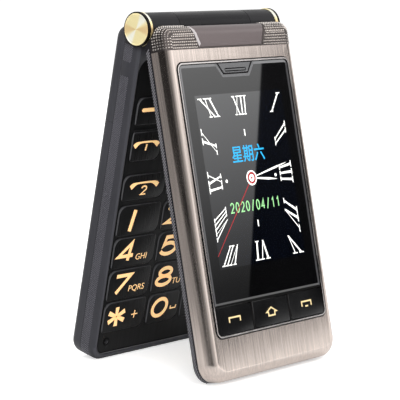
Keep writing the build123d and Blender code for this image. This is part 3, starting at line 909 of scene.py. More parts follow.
def slab(top: Array, bottom: Array) -> Shape:
    """A closed solid between two grids of points.

    Args:
        top: Rows along +y by columns along +x by 3, so that the top's quads face up.
        bottom: The same for the underside.

    Returns:
        The solid, its rim walled all round.
    """
    rows, columns = top.shape[:2]
    size = rows * columns
    upper = grid_faces(rows, columns)
    lower = [tuple(index + size for index in face[::-1]) for face in upper]
    number = np.arange(size).reshape(rows, columns)
    rim = np.concatenate([number[0], number[1:, -1], number[-1, -2::-1], number[-2:0:-1, 0]])
    following = np.roll(rim, -1)
    walls = tuples(np.stack((rim + size, following + size, following, rim), axis=1))
    return Shape(np.concatenate([top.reshape(-1, 3), bottom.reshape(-1, 3)]), upper + lower + walls)


def arc(centre: Floats, radii: Floats, start: float, end: float, count: int = 13) -> Array:
    """Points along part of an ellipse, from one angle to another, degrees."""
    angle = np.radians(np.linspace(start, end, count))
    return np.column_stack((np.cos(angle), np.sin(angle))) * radii + centre


def circle(centre: Floats, radius: float, count: int = 48) -> Array:
    """Points round a circle, anticlockwise."""
    return arc(centre, (radius, radius), 0, 360, count + 1)[:-1]


def lathe(profile: Array, centre: Floats = (0, 0), count: int = 64) -> Shape:
    """A profile of (radius, height) points spun about an upright axis.

    One that starts and ends on the axis gives a solid whose poles are its last points. Any other
    is closed by itself and gives a ring.

    Args:
        profile: The profile, lowest first and then outwards, or anticlockwise.
        centre: Where the axis stands, x and y.
        count: How many copies of the profile there are round the axis.

    Returns:
        The closed solid or ring.
    """
    solid = profile[0, 0] == 0
    curve = profile[1:-1] if solid else profile
    columns = len(curve)
    angle = np.linspace(0, 2 * np.pi, count, endpoint=False)[:, None]
    radius, height = curve.T[:, None]
    wall = np.stack(np.broadcast_arrays(centre[0] + radius * np.cos(angle),
                                        centre[1] + radius * np.sin(angle), height), axis=-1)
    points = wall.reshape(-1, 3)
    faces = [face[::-1] for face in grid_faces(count, columns, True, not solid)]
    if solid:
        points = np.concatenate([points, [(*centre, profile[end, 1]) for end in (0, -1)]])
        first = np.arange(count) * columns
        following, pole = np.roll(first, -1), np.full(count, count * columns)
        over = np.stack((pole + 1, first + columns - 1, following + columns - 1), axis=1)
        faces += tuples(np.concatenate([np.stack((pole, following, first), axis=1), over]))
    return Shape(points, faces)


def rounded_path(half: float, near: float, far: float, near_radius: float, far_radius: float,
                 pitch: float) -> tuple[Array, Array, Array]:
    """Evenly spaced places round a rounded rectangle, anticlockwise.

    Four finely drawn quarter circles give the line, which is then divided at equal lengths. The
    curvature is the change of the normal over a short step, over that step.

    Args:
        half: Half the width.
        near: Distance of the near edge from the hinge axis.
        far: Distance of the far edge.
        near_radius: Radius of the near corners.
        far_radius: Radius of the far corners.
        pitch: About how far apart the places are.

    Returns:
        The places, the outward normals, and the curvature at each place.
    """
    step = 0.05
    corners = [(half - near_radius, -near - near_radius, near_radius),
               (-half + near_radius, -near - near_radius, near_radius),
               (-half + far_radius, -far + far_radius, far_radius),
               (half - far_radius, -far + far_radius, far_radius)]
    angle = (np.linspace(0, 90, 41)[None] + 90 * np.arange(4)[:, None]).ravel() * np.pi / 180
    normals = np.column_stack((np.cos(angle), np.sin(angle)))
    centres, radii = (np.repeat(part, 41, axis=0) for part in np.split(np.array(corners), [2], 1))
    points = centres + radii * normals
    points, normals = (np.vstack((part, part[:1])) for part in (points, normals))
    length = np.concatenate(([0], np.cumsum(np.linalg.norm(np.diff(points, axis=0), axis=1))))
    count = int(round(length[-1] / pitch))
    along = np.arange(count) * length[-1] / count

    def read(table: Array, way: Array) -> Array:
        """Reads two columns of a table at distances along the line."""
        return np.column_stack([np.interp(way, length, column) for column in table.T])

    facing = unit(read(normals, along))
    ahead = read(normals, (along + step) % length[-1])
    return read(points, along), facing, np.linalg.norm(ahead - facing, axis=1) / step


@dataclass
class Pips:
    """Where a field of raised pips stands: places, normals and lengthwise directions.

    A direction or a half size that is given once holds for every pip.
    """

    places: Array
    normals: Each
    along: Each
    half_long: Union[Array, float]
    half_wide: Union[Array, float]

    def __post_init__(self) -> None:
        """Spreads what is given once over all pips."""
        count = len(self.places)
        self.normals = np.broadcast_to(self.normals, (count, 3))
        self.along = np.broadcast_to(self.along, (count, 3))
        self.half_long = np.broadcast_to(self.half_long, count)
        self.half_wide = np.broadcast_to(self.half_wide, count)

    @classmethod
    def joined(cls, fields: Sequence["Pips"]) -> "Pips":
        """Several fields as one."""
        return cls(*map(np.concatenate, zip(*(vars(part).values() for part in fields))))

    def kept(self, mask: Array) -> "Pips":
        """The pips for which the mask is true."""
        return Pips(*(part[mask] for part in vars(self).values()))

    def turned(self, angle: float) -> "Pips":
        """Every pip turned about its own normal: along and aside mixed by cosine and sine."""
        aside = np.cross(self.normals, self.along)
        return replace(self, along=self.along * math.cos(angle) + aside * math.sin(angle))

    def shape(self, height: float, taper: float, sink: float = 0.05) -> Shape:
        """Truncated pyramids: a rectangle below the surface and a smaller one above it.

        Args:
            height: How far the top stands above the surface.
            taper: The top's size as a part of the foot's.
            sink: How far the foot lies below the surface.

        Returns:
            All pips as one shape.
        """
        aside = np.cross(self.normals, self.along)
        signs = np.array([(-1, -1), (1, -1), (1, 1), (-1, 1)], float)
        levels = []
        for level, size in ((-sink, 1.0), (height, taper)):
            long = signs[None, :, 0, None] * self.half_long[:, None, None] * size
            wide = signs[None, :, 1, None] * self.half_wide[:, None, None] * size
            levels.append(self.places[:, None] + self.normals[:, None] * level
                          + self.along[:, None] * long + aside[:, None] * wide)
        return Shape(np.concatenate(levels, axis=1).reshape(-1, 3), block_faces(len(self.places)))


# ---- pieces
def linked(name: str, data: bpy.types.ID) -> bpy.types.Object:
    """A new object of some data, in the scene."""
    item = bpy.data.objects.new(name, data)
    bpy.context.scene.collection.objects.link(item)
    return item


def piece(name: str, shape: Union[Shape, bpy.types.Mesh], finish: Finish, body: str,
          smooth: float = 0.0) -> bpy.types.Object:
    """Puts a shape of the drawing into the tent as a piece on a body.

    Args:
        name: The piece's name.
        shape: Its points and faces, or else its mesh, already in the tent.
        finish: What it is finished in.
        body: The CAD body that it rides on.
        smooth: Edges that bend less than this angle, degrees, are shaded smooth.

    Returns:
        The piece's object.
    """
    half, mesh = Half.of(body), shape
    if isinstance(shape, Shape):
        mesh = bpy.data.meshes.new(name)
        mesh.from_pydata(half.tent(shape.points), [], shape.faces)
    if smooth:
        mesh.shade_smooth()
        mesh.set_sharp_from_angle(angle=math.radians(smooth))
    mesh.materials.clear()
    mesh.materials.append(painted(finish, half))
    item = linked(name, mesh)
    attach(item, body)
    LOG.info("%s: %d faces on %s", name, len(mesh.polygons), body)
    return item


def merged(mesh: bpy.types.Mesh, room: float, thin: float = 0.0) -> bpy.types.Mesh:
    """Merges a mesh's points where they are close together.

    Args:
        mesh: The mesh.
        room: Points within this distance become one.
        thin: Faces thinner than this are dropped.

    Returns:
        The same mesh.
    """
    work = bmesh.new()
    work.from_mesh(mesh)
    bmesh.ops.remove_doubles(work, verts=work.verts, dist=room)
    if thin:
        bmesh.ops.dissolve_degenerate(work, dist=thin, edges=work.edges)
    work.to_mesh(mesh)
    work.free()
    return mesh


def refined(node: str, finish: Optional[Finish] = None, crease: float = 32.0) -> None:
    """Makes a copy of a CAD node with its corners merged and its rolled edges shaded smooth.

    Args:
        node: The CAD node that the copy stands for.
        finish: Its finish, or None for the finish of its slot.
        crease: Edges that bend more than this, degrees, stay sharp.
    """
    mesh, slot = merged(frame["nodes"][node].data.copy(), 2e-6, 1e-7), SLOT_OF[node]
    item = piece(f"{node}_surface", mesh, finish or SLOT_FINISH[slot], BODY_OF[node], crease)
    item.modifiers.new("face_weights", "WEIGHTED_NORMAL").keep_sharp = True
    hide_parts(node)


@dataclass(frozen=True)
class Lettering:
    """How a text is set: the height of its capitals, its slant, stretch and weight, mm."""

    height: float
    slant: float = 0.0
    stretch: float = 1.0
    weight: float = 0.0

    CAPITAL = 0.729

    def shape(self, text: str, place: Floats, level: float, thick: float) -> Shape:
        """Sets a text flat on the drawing, centred on a place.

        Args:
            text: What it says.
            place: Its middle, x and reach.
            level: The height of the surface below it.
            thick: How far it stands above that surface.

        Returns:
            The text.
        """
        curve = bpy.data.curves.new(f"text_{text}", "FONT")
        curve.body, curve.size = text, self.height / self.CAPITAL
        curve.shear, curve.offset, curve.extrude = self.slant, self.weight / 2, thick
        curve.resolution_u = 4
        carrier = linked(curve.name, curve)
        graph = bpy.context.evaluated_depsgraph_get()
        mesh = merged(bpy.data.meshes.new_from_object(carrier.evaluated_get(graph)), 1e-4)
        bpy.data.objects.remove(carrier)
        points = mesh_points(mesh) * (self.stretch, 1, 1)
        middle = (points.min(axis=0) + points.max(axis=0)) / 2
        return Shape(points + (place[0], -place[1], level) - middle,
                     [tuple(face.vertices) for face in mesh.polygons])


# ---- lid
def lid_span(node: str) -> Any:
    """A dataclass field that holds a node's box."""
    return field(default_factory=lambda: Span.of(node))


@dataclass
class LidShells:
    """The brushed frame, the pipped band, its bevelled cover and the ridged inner tray.

    The field pip is half the width of a pip.
    """

    near_corner: float = 3.6
    far_corner: float = 6.0
    roll: float = 3.2
    pip_pitch: float = 0.86
    pip: float = 0.258
    pip_height: float = 0.22
    cover_half_near: float = 17.7
    cover_half_far: float = 14.4
    cover_bevel: float = 0.85
    cover_drop: float = 0.4
    cover_room: float = 0.45
    barrel_room: float = 5.95
    barrel_top: float = 5.2
    ridge_pitch: float = 0.85
    ridge_slant: float = 45.0
    ridge_low: float = 1.75
    ridge_start: float = 7.0
    shell: Span = lid_span("lid_outer_shell")
    band: Span = lid_span("lid_grip_band")
    cover: Span = lid_span("lid_top_cover")
    tray: Span = lid_span("lid_inner_shell")

    def build(self) -> None:
        """Makes the four shells with their pips and ridges."""
        for node in ("lid_outer_shell", "lid_inner_shell", "lid_grip_band"):
            refined(node)
        cover = piece("lid_top_cover_bevelled", self.cover_shape(), COVER_LACQUER, "lid",
                      25)
        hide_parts("lid_top_cover")
        piece("lid_band_pips", self.band_pips().shape(self.pip_height, 0.55), BAND_METAL, "lid")
        piece("lid_tray_ridges", self.tray_ridges().shape(0.18, 0.5), RIDGES, "lid")

    def cover_half(self, reach: Array) -> Array:
        """Half the cover's width, which falls in step with the reach."""
        part = (reach + 1.0) / (self.cover.far + 1.0)
        return self.cover_half_near + (self.cover_half_far - self.cover_half_near) * part

    def cover_shape(self) -> Shape:
        """The cover: a grid whose height is the lid's roll, less a bevel near its edges.

        On the roll, z = c + sqrt(r r - d d) with d the way left to the roll's end; the bevel
        takes off its drop times how far a point lies inside the bevel's width.

        Returns:
            The cover as a closed slab.
        """
        bevel, seat = self.cover_bevel, self.cover.low + 0.05
        edge = np.array((0, 0.12, 0.3, 0.6, 1.0)) * bevel
        reach = np.concatenate([self.cover.far - edge,
                                np.linspace(self.cover.far - bevel - 0.4, self.cover.near, 22)])
        half = self.cover_half(reach)[:, None]
        inner = np.linspace(-1, 1, 25)[None] * (half - bevel - 0.3)
        x = np.concatenate([-half + edge[None], inner, half - edge[None, ::-1]], axis=1)
        rolled = self.roll + self.cover.high - self.shell.high
        way = np.clip(self.band.near + self.roll - reach, 0, rolled * 0.999)[:, None]
        height = self.shell.high - self.roll + np.sqrt(rolled ** 2 - way ** 2)
        inside = np.minimum(half - np.abs(x), (self.cover.far - reach)[:, None])
        height = height - self.cover_drop * (1 - np.clip(inside / bevel, 0, 1))
        top = np.stack(np.broadcast_arrays(x, -reach[:, None], height), axis=-1)
        bottom = top.copy()
        bottom[..., 2] = np.minimum(seat, top[..., 2] - 0.1)
        return slab(top, bottom)

    def clear_of_cover(self, x: Array, y: Array) -> Array:
        """True outside the cover's outline and a little room round it."""
        room = self.cover_room
        return (np.abs(x) > self.cover_half(-y) + room) | (-y > self.cover.far + room)

    def band_pips(self) -> Pips:
        """Pips over the band's flat top, its rolled edge and its sides.

        On the roll a place is the outline moved in by r (1 - sin a) and down by r (1 - cos a),
        and its normal leans out by a. Pips narrow where the corner's curve crowds them.

        Returns:
            All pips of the band.
        """
        places, facing, curve = rounded_path(self.band.right, self.band.near, self.shell.far,
                                             self.near_corner, self.far_corner, self.pip_pitch)
        along = raised(leftward(facing), 0.0)
        step = self.pip_pitch / self.roll
        fields = []
        for row in range(int(math.pi / 2 / step) + 1):
            lean = step * (row + 0.35)
            moved = self.roll * (1 - math.sin(lean))
            height = self.shell.high - self.roll * (1 - math.cos(lean))
            normals = raised(facing * math.sin(lean), math.cos(lean))
            fields.append(Pips(raised(places - facing * moved, height), normals, along,
                               self.pip * np.clip(1 - moved * curve, 0, 1), self.pip))
        for height in np.arange(self.shell.high - self.roll - 0.55, self.band.low + 0.4,
                                -self.pip_pitch):
            fields.append(Pips(raised(places, height), raised(facing, 0.0), along, self.pip,
                               self.pip))
        edge = Pips.joined(fields)
        x, y, z = edge.places.T
        fits = (-y < self.band.far - self.pip) & self.clear_of_cover(x, y)
        fits &= (np.hypot(y, z) > self.barrel_room) | (z > self.barrel_top)
        return Pips.joined([edge.kept(fits & (edge.half_long > self.pip * 0.4)), self.flat_pips()])

    def flat_pips(self) -> Pips:
        """Sets a square grid of pips on the band's flat top, either side of the cover.

        Returns:
            The flat top's pips.
        """
        flat_half = self.band.right - self.roll
        x = np.arange(-flat_half + 0.3, flat_half, self.pip_pitch)
        y = -np.arange(self.band.near + self.roll + 0.3, self.band.far - self.pip, self.pip_pitch)
        x, y = (part.ravel() for part in np.meshgrid(x, y))
        flat = np.column_stack((x, y))[self.clear_of_cover(x, y)]
        return Pips(raised(flat, self.shell.high), (0.0, 0.0, 1.0), (1.0, 0.0, 0.0), self.pip,
                    self.pip)

    def tray_ridges(self) -> Pips:
        """Slants ridges round the tray's edge, clear of the hinge and of the floor.

        Returns:
            The ridges.
        """
        places, facing, _ = rounded_path(self.tray.right, 0.5, self.tray.far, self.near_corner,
                                         self.far_corner, self.ridge_pitch)
        points = raised(places, (self.ridge_low + self.shell.low) / 2 - 0.2)
        ridges = Pips(points, raised(facing, 0.0), raised(leftward(facing), 0.0), 1.0, 0.19)
        tips = Half.LID.tent(points + np.array((0, -0.2, -1.0)))
        return ridges.turned(math.radians(self.ridge_slant - 90)).kept(
            (-places[:, 1] > self.ridge_start) & (tips[:, 2] > CAD_BOX[0][2]))


def glyph_lines() -> dict[str, list[Line]]:
    """Draws the centre lines of the numerals and signs in a unit box.

    Returns:
        Each sign's lines; one that ends where it starts is closed.
    """
    bowl = arc((0.5, 0.31), (0.5, 0.31), 0, 360, 33)
    stem = arc((0.64, 0.33), (0.64, 0.67), 68, 180, 11)
    five = arc((0.46, 0.32), (0.54, 0.32), 128, -158, 19)
    return {
        "0": [arc((0.5, 0.5), (0.5, 0.5), 0, 360, 41)],
        "1": [[(0.22, 0.76), (0.62, 1.0), (0.62, 0.0)]],
        "2": [[*arc((0.5, 0.71), (0.49, 0.29), 172, -32), (0.0, 0.0), (1.0, 0.0)]],
        "3": [arc((0.47, 0.755), (0.45, 0.245), 158, -90),
              arc((0.47, 0.255), (0.53, 0.255), 90, -160)],
        "4": [[(0.72, 0.0), (0.72, 1.0), (0.0, 0.28), (1.0, 0.28)]],
        "5": [[(0.93, 1.0), (0.16, 1.0), (0.08, 0.53), *five]],
        "6": [bowl, stem], "7": [[(0.0, 1.0), (1.0, 1.0), (0.24, 0.0)]],
        "8": [arc((0.5, 0.76), (0.42, 0.24), 0, 360, 29),
              arc((0.5, 0.26), (0.5, 0.26), 0, 360, 33)],
        "9": [1 - bowl, 1 - stem], "/": [[(0.15, -0.08), (0.85, 1.08)]],
        "#": [[(x, 0.0), (x, 1.0)] for x in (0.3, 0.7)]
             + [[(0.0, y), (1.0, y)] for y in (0.32, 0.68)],
    }


@dataclass(frozen=True)
class Numbers:
    """How numbers are drawn as bands: height, width of one, band width, pitch and slant."""

    height: float
    width: float
    band: float
    pitch: float = 0.0
    slant: float = 0.0

    LINES = glyph_lines()

    def shapes(self, text: str, place: Floats, level: float, rise: float) -> list[Shape]:
        """Draws a number centred on a place.

        A line's point (a, b) of the unit box is laid out at half the band inside the number's
        box, then moved right by the slant times its height.

        Args:
            text: The marks.
            place: The middle, x and reach.
            level: The height of the surface.
            rise: How far the bands reach above and below it.

        Returns:
            One band for each line.
        """
        shapes = []
        size = np.array((self.width, self.height)) - self.band
        for number, mark in enumerate(text):
            step = (number - (len(text) - 1) / 2) * self.pitch
            for line in self.LINES[mark]:
                closed = np.allclose(line[0], line[-1])
                path = (np.array(line[:-1] if closed else line) - 0.5) * size
                path[:, 0] += self.slant * path[:, 1] + step + place[0]
                path[:, 1] -= place[1]
                shapes.append(ribbon(path, self.band, level - rise, level + rise, closed))
        return shapes


class Side(Enum):
    """The side of the rectangular dial that a numeral stands on, as (outward, reading)."""

    TOP = ((0, 1), (1, 0))
    RIGHT = ((1, 0), (0, -1))
    BOTTOM = ((0, -1), (-1, 0))
    LEFT = ((-1, 0), (0, 1))


@dataclass(frozen=True)
class Numeral:
    """A Roman numeral of the dial, its side and its middle, x and reach."""

    text: str
    side: Side
    x: float
    reach: float
    width: float


def down(x: float, reach: float) -> Array:
    """A place given by x and reach, in drawing x and y."""
    return np.array((x, -reach), float)


@dataclass
class Dial:
    """The clock shown on the outer display: numerals, marks, hands, weekday and date."""

    hub: Pair = (0.06, 48.3)
    numeral_height: float = 5.9
    thick: float = 0.108
    thin: float = 0.045
    pane: Box = (-20.0, 20.0, 22.0, 74.2)
    sunk: float = 0.02
    proud: float = 0.03
    level: float = field(default_factory=lambda: Span.of("outer_glass").high)
    numerals: tuple[Numeral, ...] = (
        Numeral("XII", Side.TOP, -0.3, 25.9, 6.0), Numeral("I", Side.TOP, 16.1, 25.9, 2.0),
        Numeral("II", Side.RIGHT, 16.5, 35.9, 3.5), Numeral("III", Side.RIGHT, 16.5, 48.0, 6.3),
        Numeral("IV", Side.RIGHT, 16.3, 60.7, 7.0), Numeral("V", Side.BOTTOM, 14.9, 70.5, 4.4),
        Numeral("VI", Side.BOTTOM, -0.2, 70.5, 6.2), Numeral("VII", Side.BOTTOM, -14.0, 70.5, 5.7),
        Numeral("VIII", Side.LEFT, -16.5, 60.3, 6.0), Numeral("IX", Side.LEFT, -16.5, 48.3, 5.8),
        Numeral("X", Side.LEFT, -16.5, 36.4, 4.0), Numeral("XI", Side.TOP, -14.0, 25.9, 5.5))

    def build(self) -> None:
        """Makes the dial's pieces on the glass."""
        low, high, hub = self.level - self.sunk, self.level + self.proud, down(*self.hub)
        quads = np.concatenate([self.numeral_quads(numeral) for numeral in self.numerals])
        marks = [plate(circle((side * 11.4, -48.35), 0.5, 24), low, high) for side in (-1, 1)]
        marks += [ribbon([(0, 1.0 - reach), (0, -1.0 - reach)], 0.45, low, high)
                  for reach in (34.3, 62.2)]
        second = ribbon([hub, down(-20.1, 70.2)], np.array((0.34, 0.2)), low, high + 0.01)
        ring = ribbon(circle(hub, 1.5), 0.7, low, high + 0.05, True)
        dot = plate(circle(hub, 0.4, 24), low, high + 0.05)
        weekday = Lettering(4.0, stretch=0.93, weight=0.1)
        date = Numbers(3.25, 1.75, 0.4, 2.36)
        piece("display_pane", plate(box_corners(*self.pane), self.level - 0.03,
                                    self.level + 0.012), PANE_GLASS, "lid")
        for name, shapes, ink in (
                ("numerals", [prisms(quads, low, high)], DIAL_WHITE),
                ("marks", marks, DIAL_WHITE),
                ("hands", [self.hand((17.1, 44.9), 0.3, 0.62), self.hand((11.8, 49.6), 0.4, 0.7)],
                 DIAL_WHITE),
                ("second_hand", [second], DIAL_RED),
                ("hub", [plate(circle(hub, 2.3), low, high + 0.03)], DIAL_WHITE),
                ("hub_ring", [ring, dot], DIAL_RED),
                ("weekday", [weekday.shape("星期六", (0.2, 40.7), self.level, self.proud)], DIAL_BLUE),
                ("date", date.shapes("2020/04/11", (0.0, 56.6), self.level, self.proud),
                 DIAL_GREEN)):
            piece(f"dial_{name}", Shape.joined(shapes), ink, "lid")

    def hand(self, tip: Floats, narrow: float, wide: float) -> Shape:
        """A hand that widens from the hub to two thirds of its length, then runs to a point.

        Args:
            tip: Where it ends, x and reach.
            narrow: Its width near the hub.
            wide: Its greatest width.

        Returns:
            The hand.
        """
        start, end = down(*self.hub), down(*tip)
        path = start + (end - start) * np.array((0.0, 0.12, 0.66, 1.0))[:, None]
        return ribbon(path, np.array((narrow, narrow, wide, 0.12)), self.level - self.sunk,
                      self.level + self.proud)

    def glyph(self, letter: str, start: float) -> tuple[list[Array], float]:
        """A letter's strokes and serifs in units of its height, and its width.

        Args:
            letter: I, V or X.
            start: Where the letter begins.

        Returns:
            Four-cornered strokes, and the width taken up.
        """
        def stroke(foot: float, head: float, width: float, low: float = 0.0,
                   high: float = 1.0) -> Array:
            """A bar of one width from its foot's middle to its head's."""
            half = width / 2
            return np.array([(foot - half, low), (foot + half, low), (head + half, high),
                             (head - half, high)])

        def serif(middle: float, base: float) -> Array:
            """A short bar that lies inside the letter's height."""
            return stroke(middle, middle, 0.3, base, base + (0.055 if base < 0.5 else -0.055))

        if letter == "I":
            middle = start + 0.18
            return [stroke(middle, middle, self.thick), serif(middle, 0), serif(middle, 1)], 0.36
        left, right = start + 0.14, start + 0.56
        foot = (left + right) / 2
        if letter == "V":
            strokes = [stroke(foot, left, self.thick), stroke(foot, right, self.thin)]
        else:
            strokes = [stroke(right, left, self.thick), stroke(left, right, self.thin),
                       serif(left, 0), serif(right, 0)]
        return strokes + [serif(left, 1), serif(right, 1)], 0.7

    def numeral_quads(self, numeral: Numeral) -> Array:
        """A numeral whose strokes point at the hub and whose serifs lie along the dial's side.

        A point of the glyph at height b lies at the distance R = Rm + (b - 1/2) h from the hub,
        and its place along the side is that of the numeral's middle, scaled by R / Rm.

        Args:
            numeral: The numeral.

        Returns:
            Its strokes, count by 4 by 2, in the drawing.
        """
        strokes, width = [], 0.0
        for letter in numeral.text:
            parts, taken = self.glyph(letter, width)
            strokes += parts
            width += taken
        quads = np.array(strokes)
        squeeze = numeral.width / (width * self.numeral_height)
        outward, reading = (np.array(part, float) for part in numeral.side.value)
        middle = down(numeral.x, numeral.reach) - down(*self.hub)
        far, aside = middle @ outward, middle @ reading
        out = far + (quads[..., 1] - 0.5) * self.numeral_height
        along = aside + (quads[..., 0] - width / 2) * self.numeral_height * squeeze
        along = along * out / far
        return down(*self.hub) + out[..., None] * outward + along[..., None] * reading


@dataclass
class Face:
    """The trim with a bright bead as a painted highlight, the glass, the tab and the three flat keys."""

    panel: Box = (-26.0, 26.0, 11.65, 94.5)
    panel_corner: float = 2.6
    bead_inset: float = 0.62
    bead_width: float = 0.4
    skirt_foot: float = 5.9
    skirt_width: float = 0.85
    outline_foot: float = 5.45
    outline_width: float = 0.3
    seam_width: float = 0.55
    slot: Box = (-4.55, 4.55, 14.62, 15.08)
    stroke: float = 0.48
    sunk: float = 0.05
    proud: float = 0.012

    def build(self) -> None:
        """Makes the face's pieces."""
        bezel, glass = Span.of("outer_bezel"), Span.of("outer_glass")
        tab = Span.of("earpiece_tab")
        refined("outer_bezel", crease=25)
        refined("outer_glass", FACE_GLASS, 4)
        refined("earpiece_tab", TAB_GLASS, 25)
        # painted highlight: a bright metal bead along the trim's edge
        line = rounded(inset(box_corners(*self.panel), self.bead_inset),
                       self.panel_corner - self.bead_inset, 10)
        piece("trim_bead", ribbon(line, self.bead_width, bezel.high - self.sunk,
                                  bezel.high + 0.03, True), TRIM_HIGHLIGHT_BEAD, "lid")
        level, high = glass.high - 0.03, glass.high + self.proud
        # painted reflection: a lighter band on the glass round the tab
        skirt = self.round_tab(tab, 1.0, glass.near + 0.3, self.skirt_foot, 0.75)
        piece("tab_glass_edge", ribbon(skirt, self.skirt_width, level, high), BEVEL_REFLECTION_GLASS, "lid")
        # painted shade: a dark band round the tab
        outline = self.round_tab(tab, 0.25, glass.near + 0.1, self.outline_foot, 0.1)
        piece("tab_outline", ribbon(outline, self.outline_width, tab.high - self.sunk,
                                    tab.high + self.proud), GAP_SHADE, "lid")
        # painted shade: a dark band over the glass's far edge, by the keys
        seam = [(glass.left + 0.3, -glass.far), (glass.right - 0.3, -glass.far)]
        piece("glass_key_seam", ribbon(seam, self.seam_width, level, high), GAP_SHADE, "lid")
        piece("sound_slot_bar", plate(box_corners(*self.slot), tab.high - 0.5, tab.high - 0.1),
              TAB_GLASS, "lid")
        dash = [(-0.7, -0.75), (0.7, -0.75)]
        self.key("outer_key_left", [self.bracket(4.9, 1.4)])
        self.key("outer_key_home", [self.house(4.7, 2.45)])
        self.key("outer_key_back", [self.bracket(4.5, 1.5), dash])

    def round_tab(self, tab: Span, room: float, near: float, foot: float, below: float) -> Line:
        """A path down one side of the tab, across below it and up the other side.

        Args:
            tab: The tab's box.
            room: How far outside the tab it starts and ends.
            near: How far from the hinge it starts and ends.
            foot: Half its width at the tab's far edge.
            below: How far past that edge it runs.

        Returns:
            The path's four points.
        """
        far = -tab.far - below
        return [(tab.right + room, -near), (foot, far), (-foot, far), (tab.left - room, -near)]

    def bracket(self, width: float, height: float) -> Line:
        """An open bracket whose ends point to the free end."""
        x, y = width / 2, height / 2
        return [(-x, -y), (-x, y), (x, y), (x, -y)]

    def house(self, width: float, height: float) -> Line:
        """The outline of a small house, with eaves at a tenth of its half height."""
        x, y = width / 2, height / 2
        wall, eaves = x * 0.62, -0.1 * y
        return [(-wall, -y), (wall, -y), (wall, eaves), (x, eaves), (0, y), (-x, eaves),
                (-wall, eaves)]

    def key(self, node: str, paths: Sequence[Line]) -> None:
        """Makes one flat key with its icon drawn as bands; a path of many points closes.

        Args:
            node: The key.
            paths: The icon's lines about the key's middle.
        """
        span = Span.of(node)
        refined(node, FACE_KEYS, 25)
        icon = [ribbon(np.array(path) + down(*span.middle), self.stroke, span.high - 0.02,
                       span.high + 0.02, len(path) > 4) for path in paths]
        piece(f"{node}_icon", Shape.joined(icon), ICON, BODY_OF[node])


@dataclass
class LidInside:
    """The window on the main display, the bumpers and the screw plugs."""

    plug_places: Pairs = ((-24.0, 9.4), (24.0, 9.4), (-26.0, 97.6), (26.0, 97.6))
    plug_radius: float = 1.7
    plug_proud: float = 0.07
    frame_side: float = 1.5
    frame_far: float = 3.0

    def build(self) -> None:
        """Makes the pieces of the lid's inner face."""
        screen, lens = Span.of("inner_display"), Span.of("inner_lens")
        refined("inner_lens", INNER_GLASS, 25)
        view = box_corners(screen.left + self.frame_side, screen.right - self.frame_side,
                           screen.near + self.frame_side, screen.far - self.frame_far)
        piece("inner_display_pane", plate(view, lens.low - 0.012, lens.low + 0.03), PANEL, "lid")
        for node in ("bumper_left", "bumper_right"):
            refined(node)
        face = lens.low - 0.1
        radius, proud = self.plug_radius, self.plug_proud
        profile = np.array([(0, face - proud), (radius * 0.8, face - proud),
                            (radius, face - proud * 0.3), (radius, face + 0.1), (0, face + 0.1)])
        plugs = [lathe(profile, (x, -reach), 40) for x, reach in self.plug_places]
        piece("lid_screw_plugs", Shape.joined(plugs), RUBBER, "lid", 30)


# ---- keypad
class Leaf(Enum):
    """Which corners of a key are drawn out round, as radii from the near right one on."""

    BOTH = (0.9, 2.8, 0.9, 2.8)
    NEAR = (0.9, 2.8, 0.5, 0.5)
    FAR = (0.5, 0.5, 0.9, 2.8)
    NEAR_MIRRORED = (2.8, 0.9, 0.5, 0.5)
    FAR_MIRRORED = (0.5, 0.5, 2.8, 0.9)


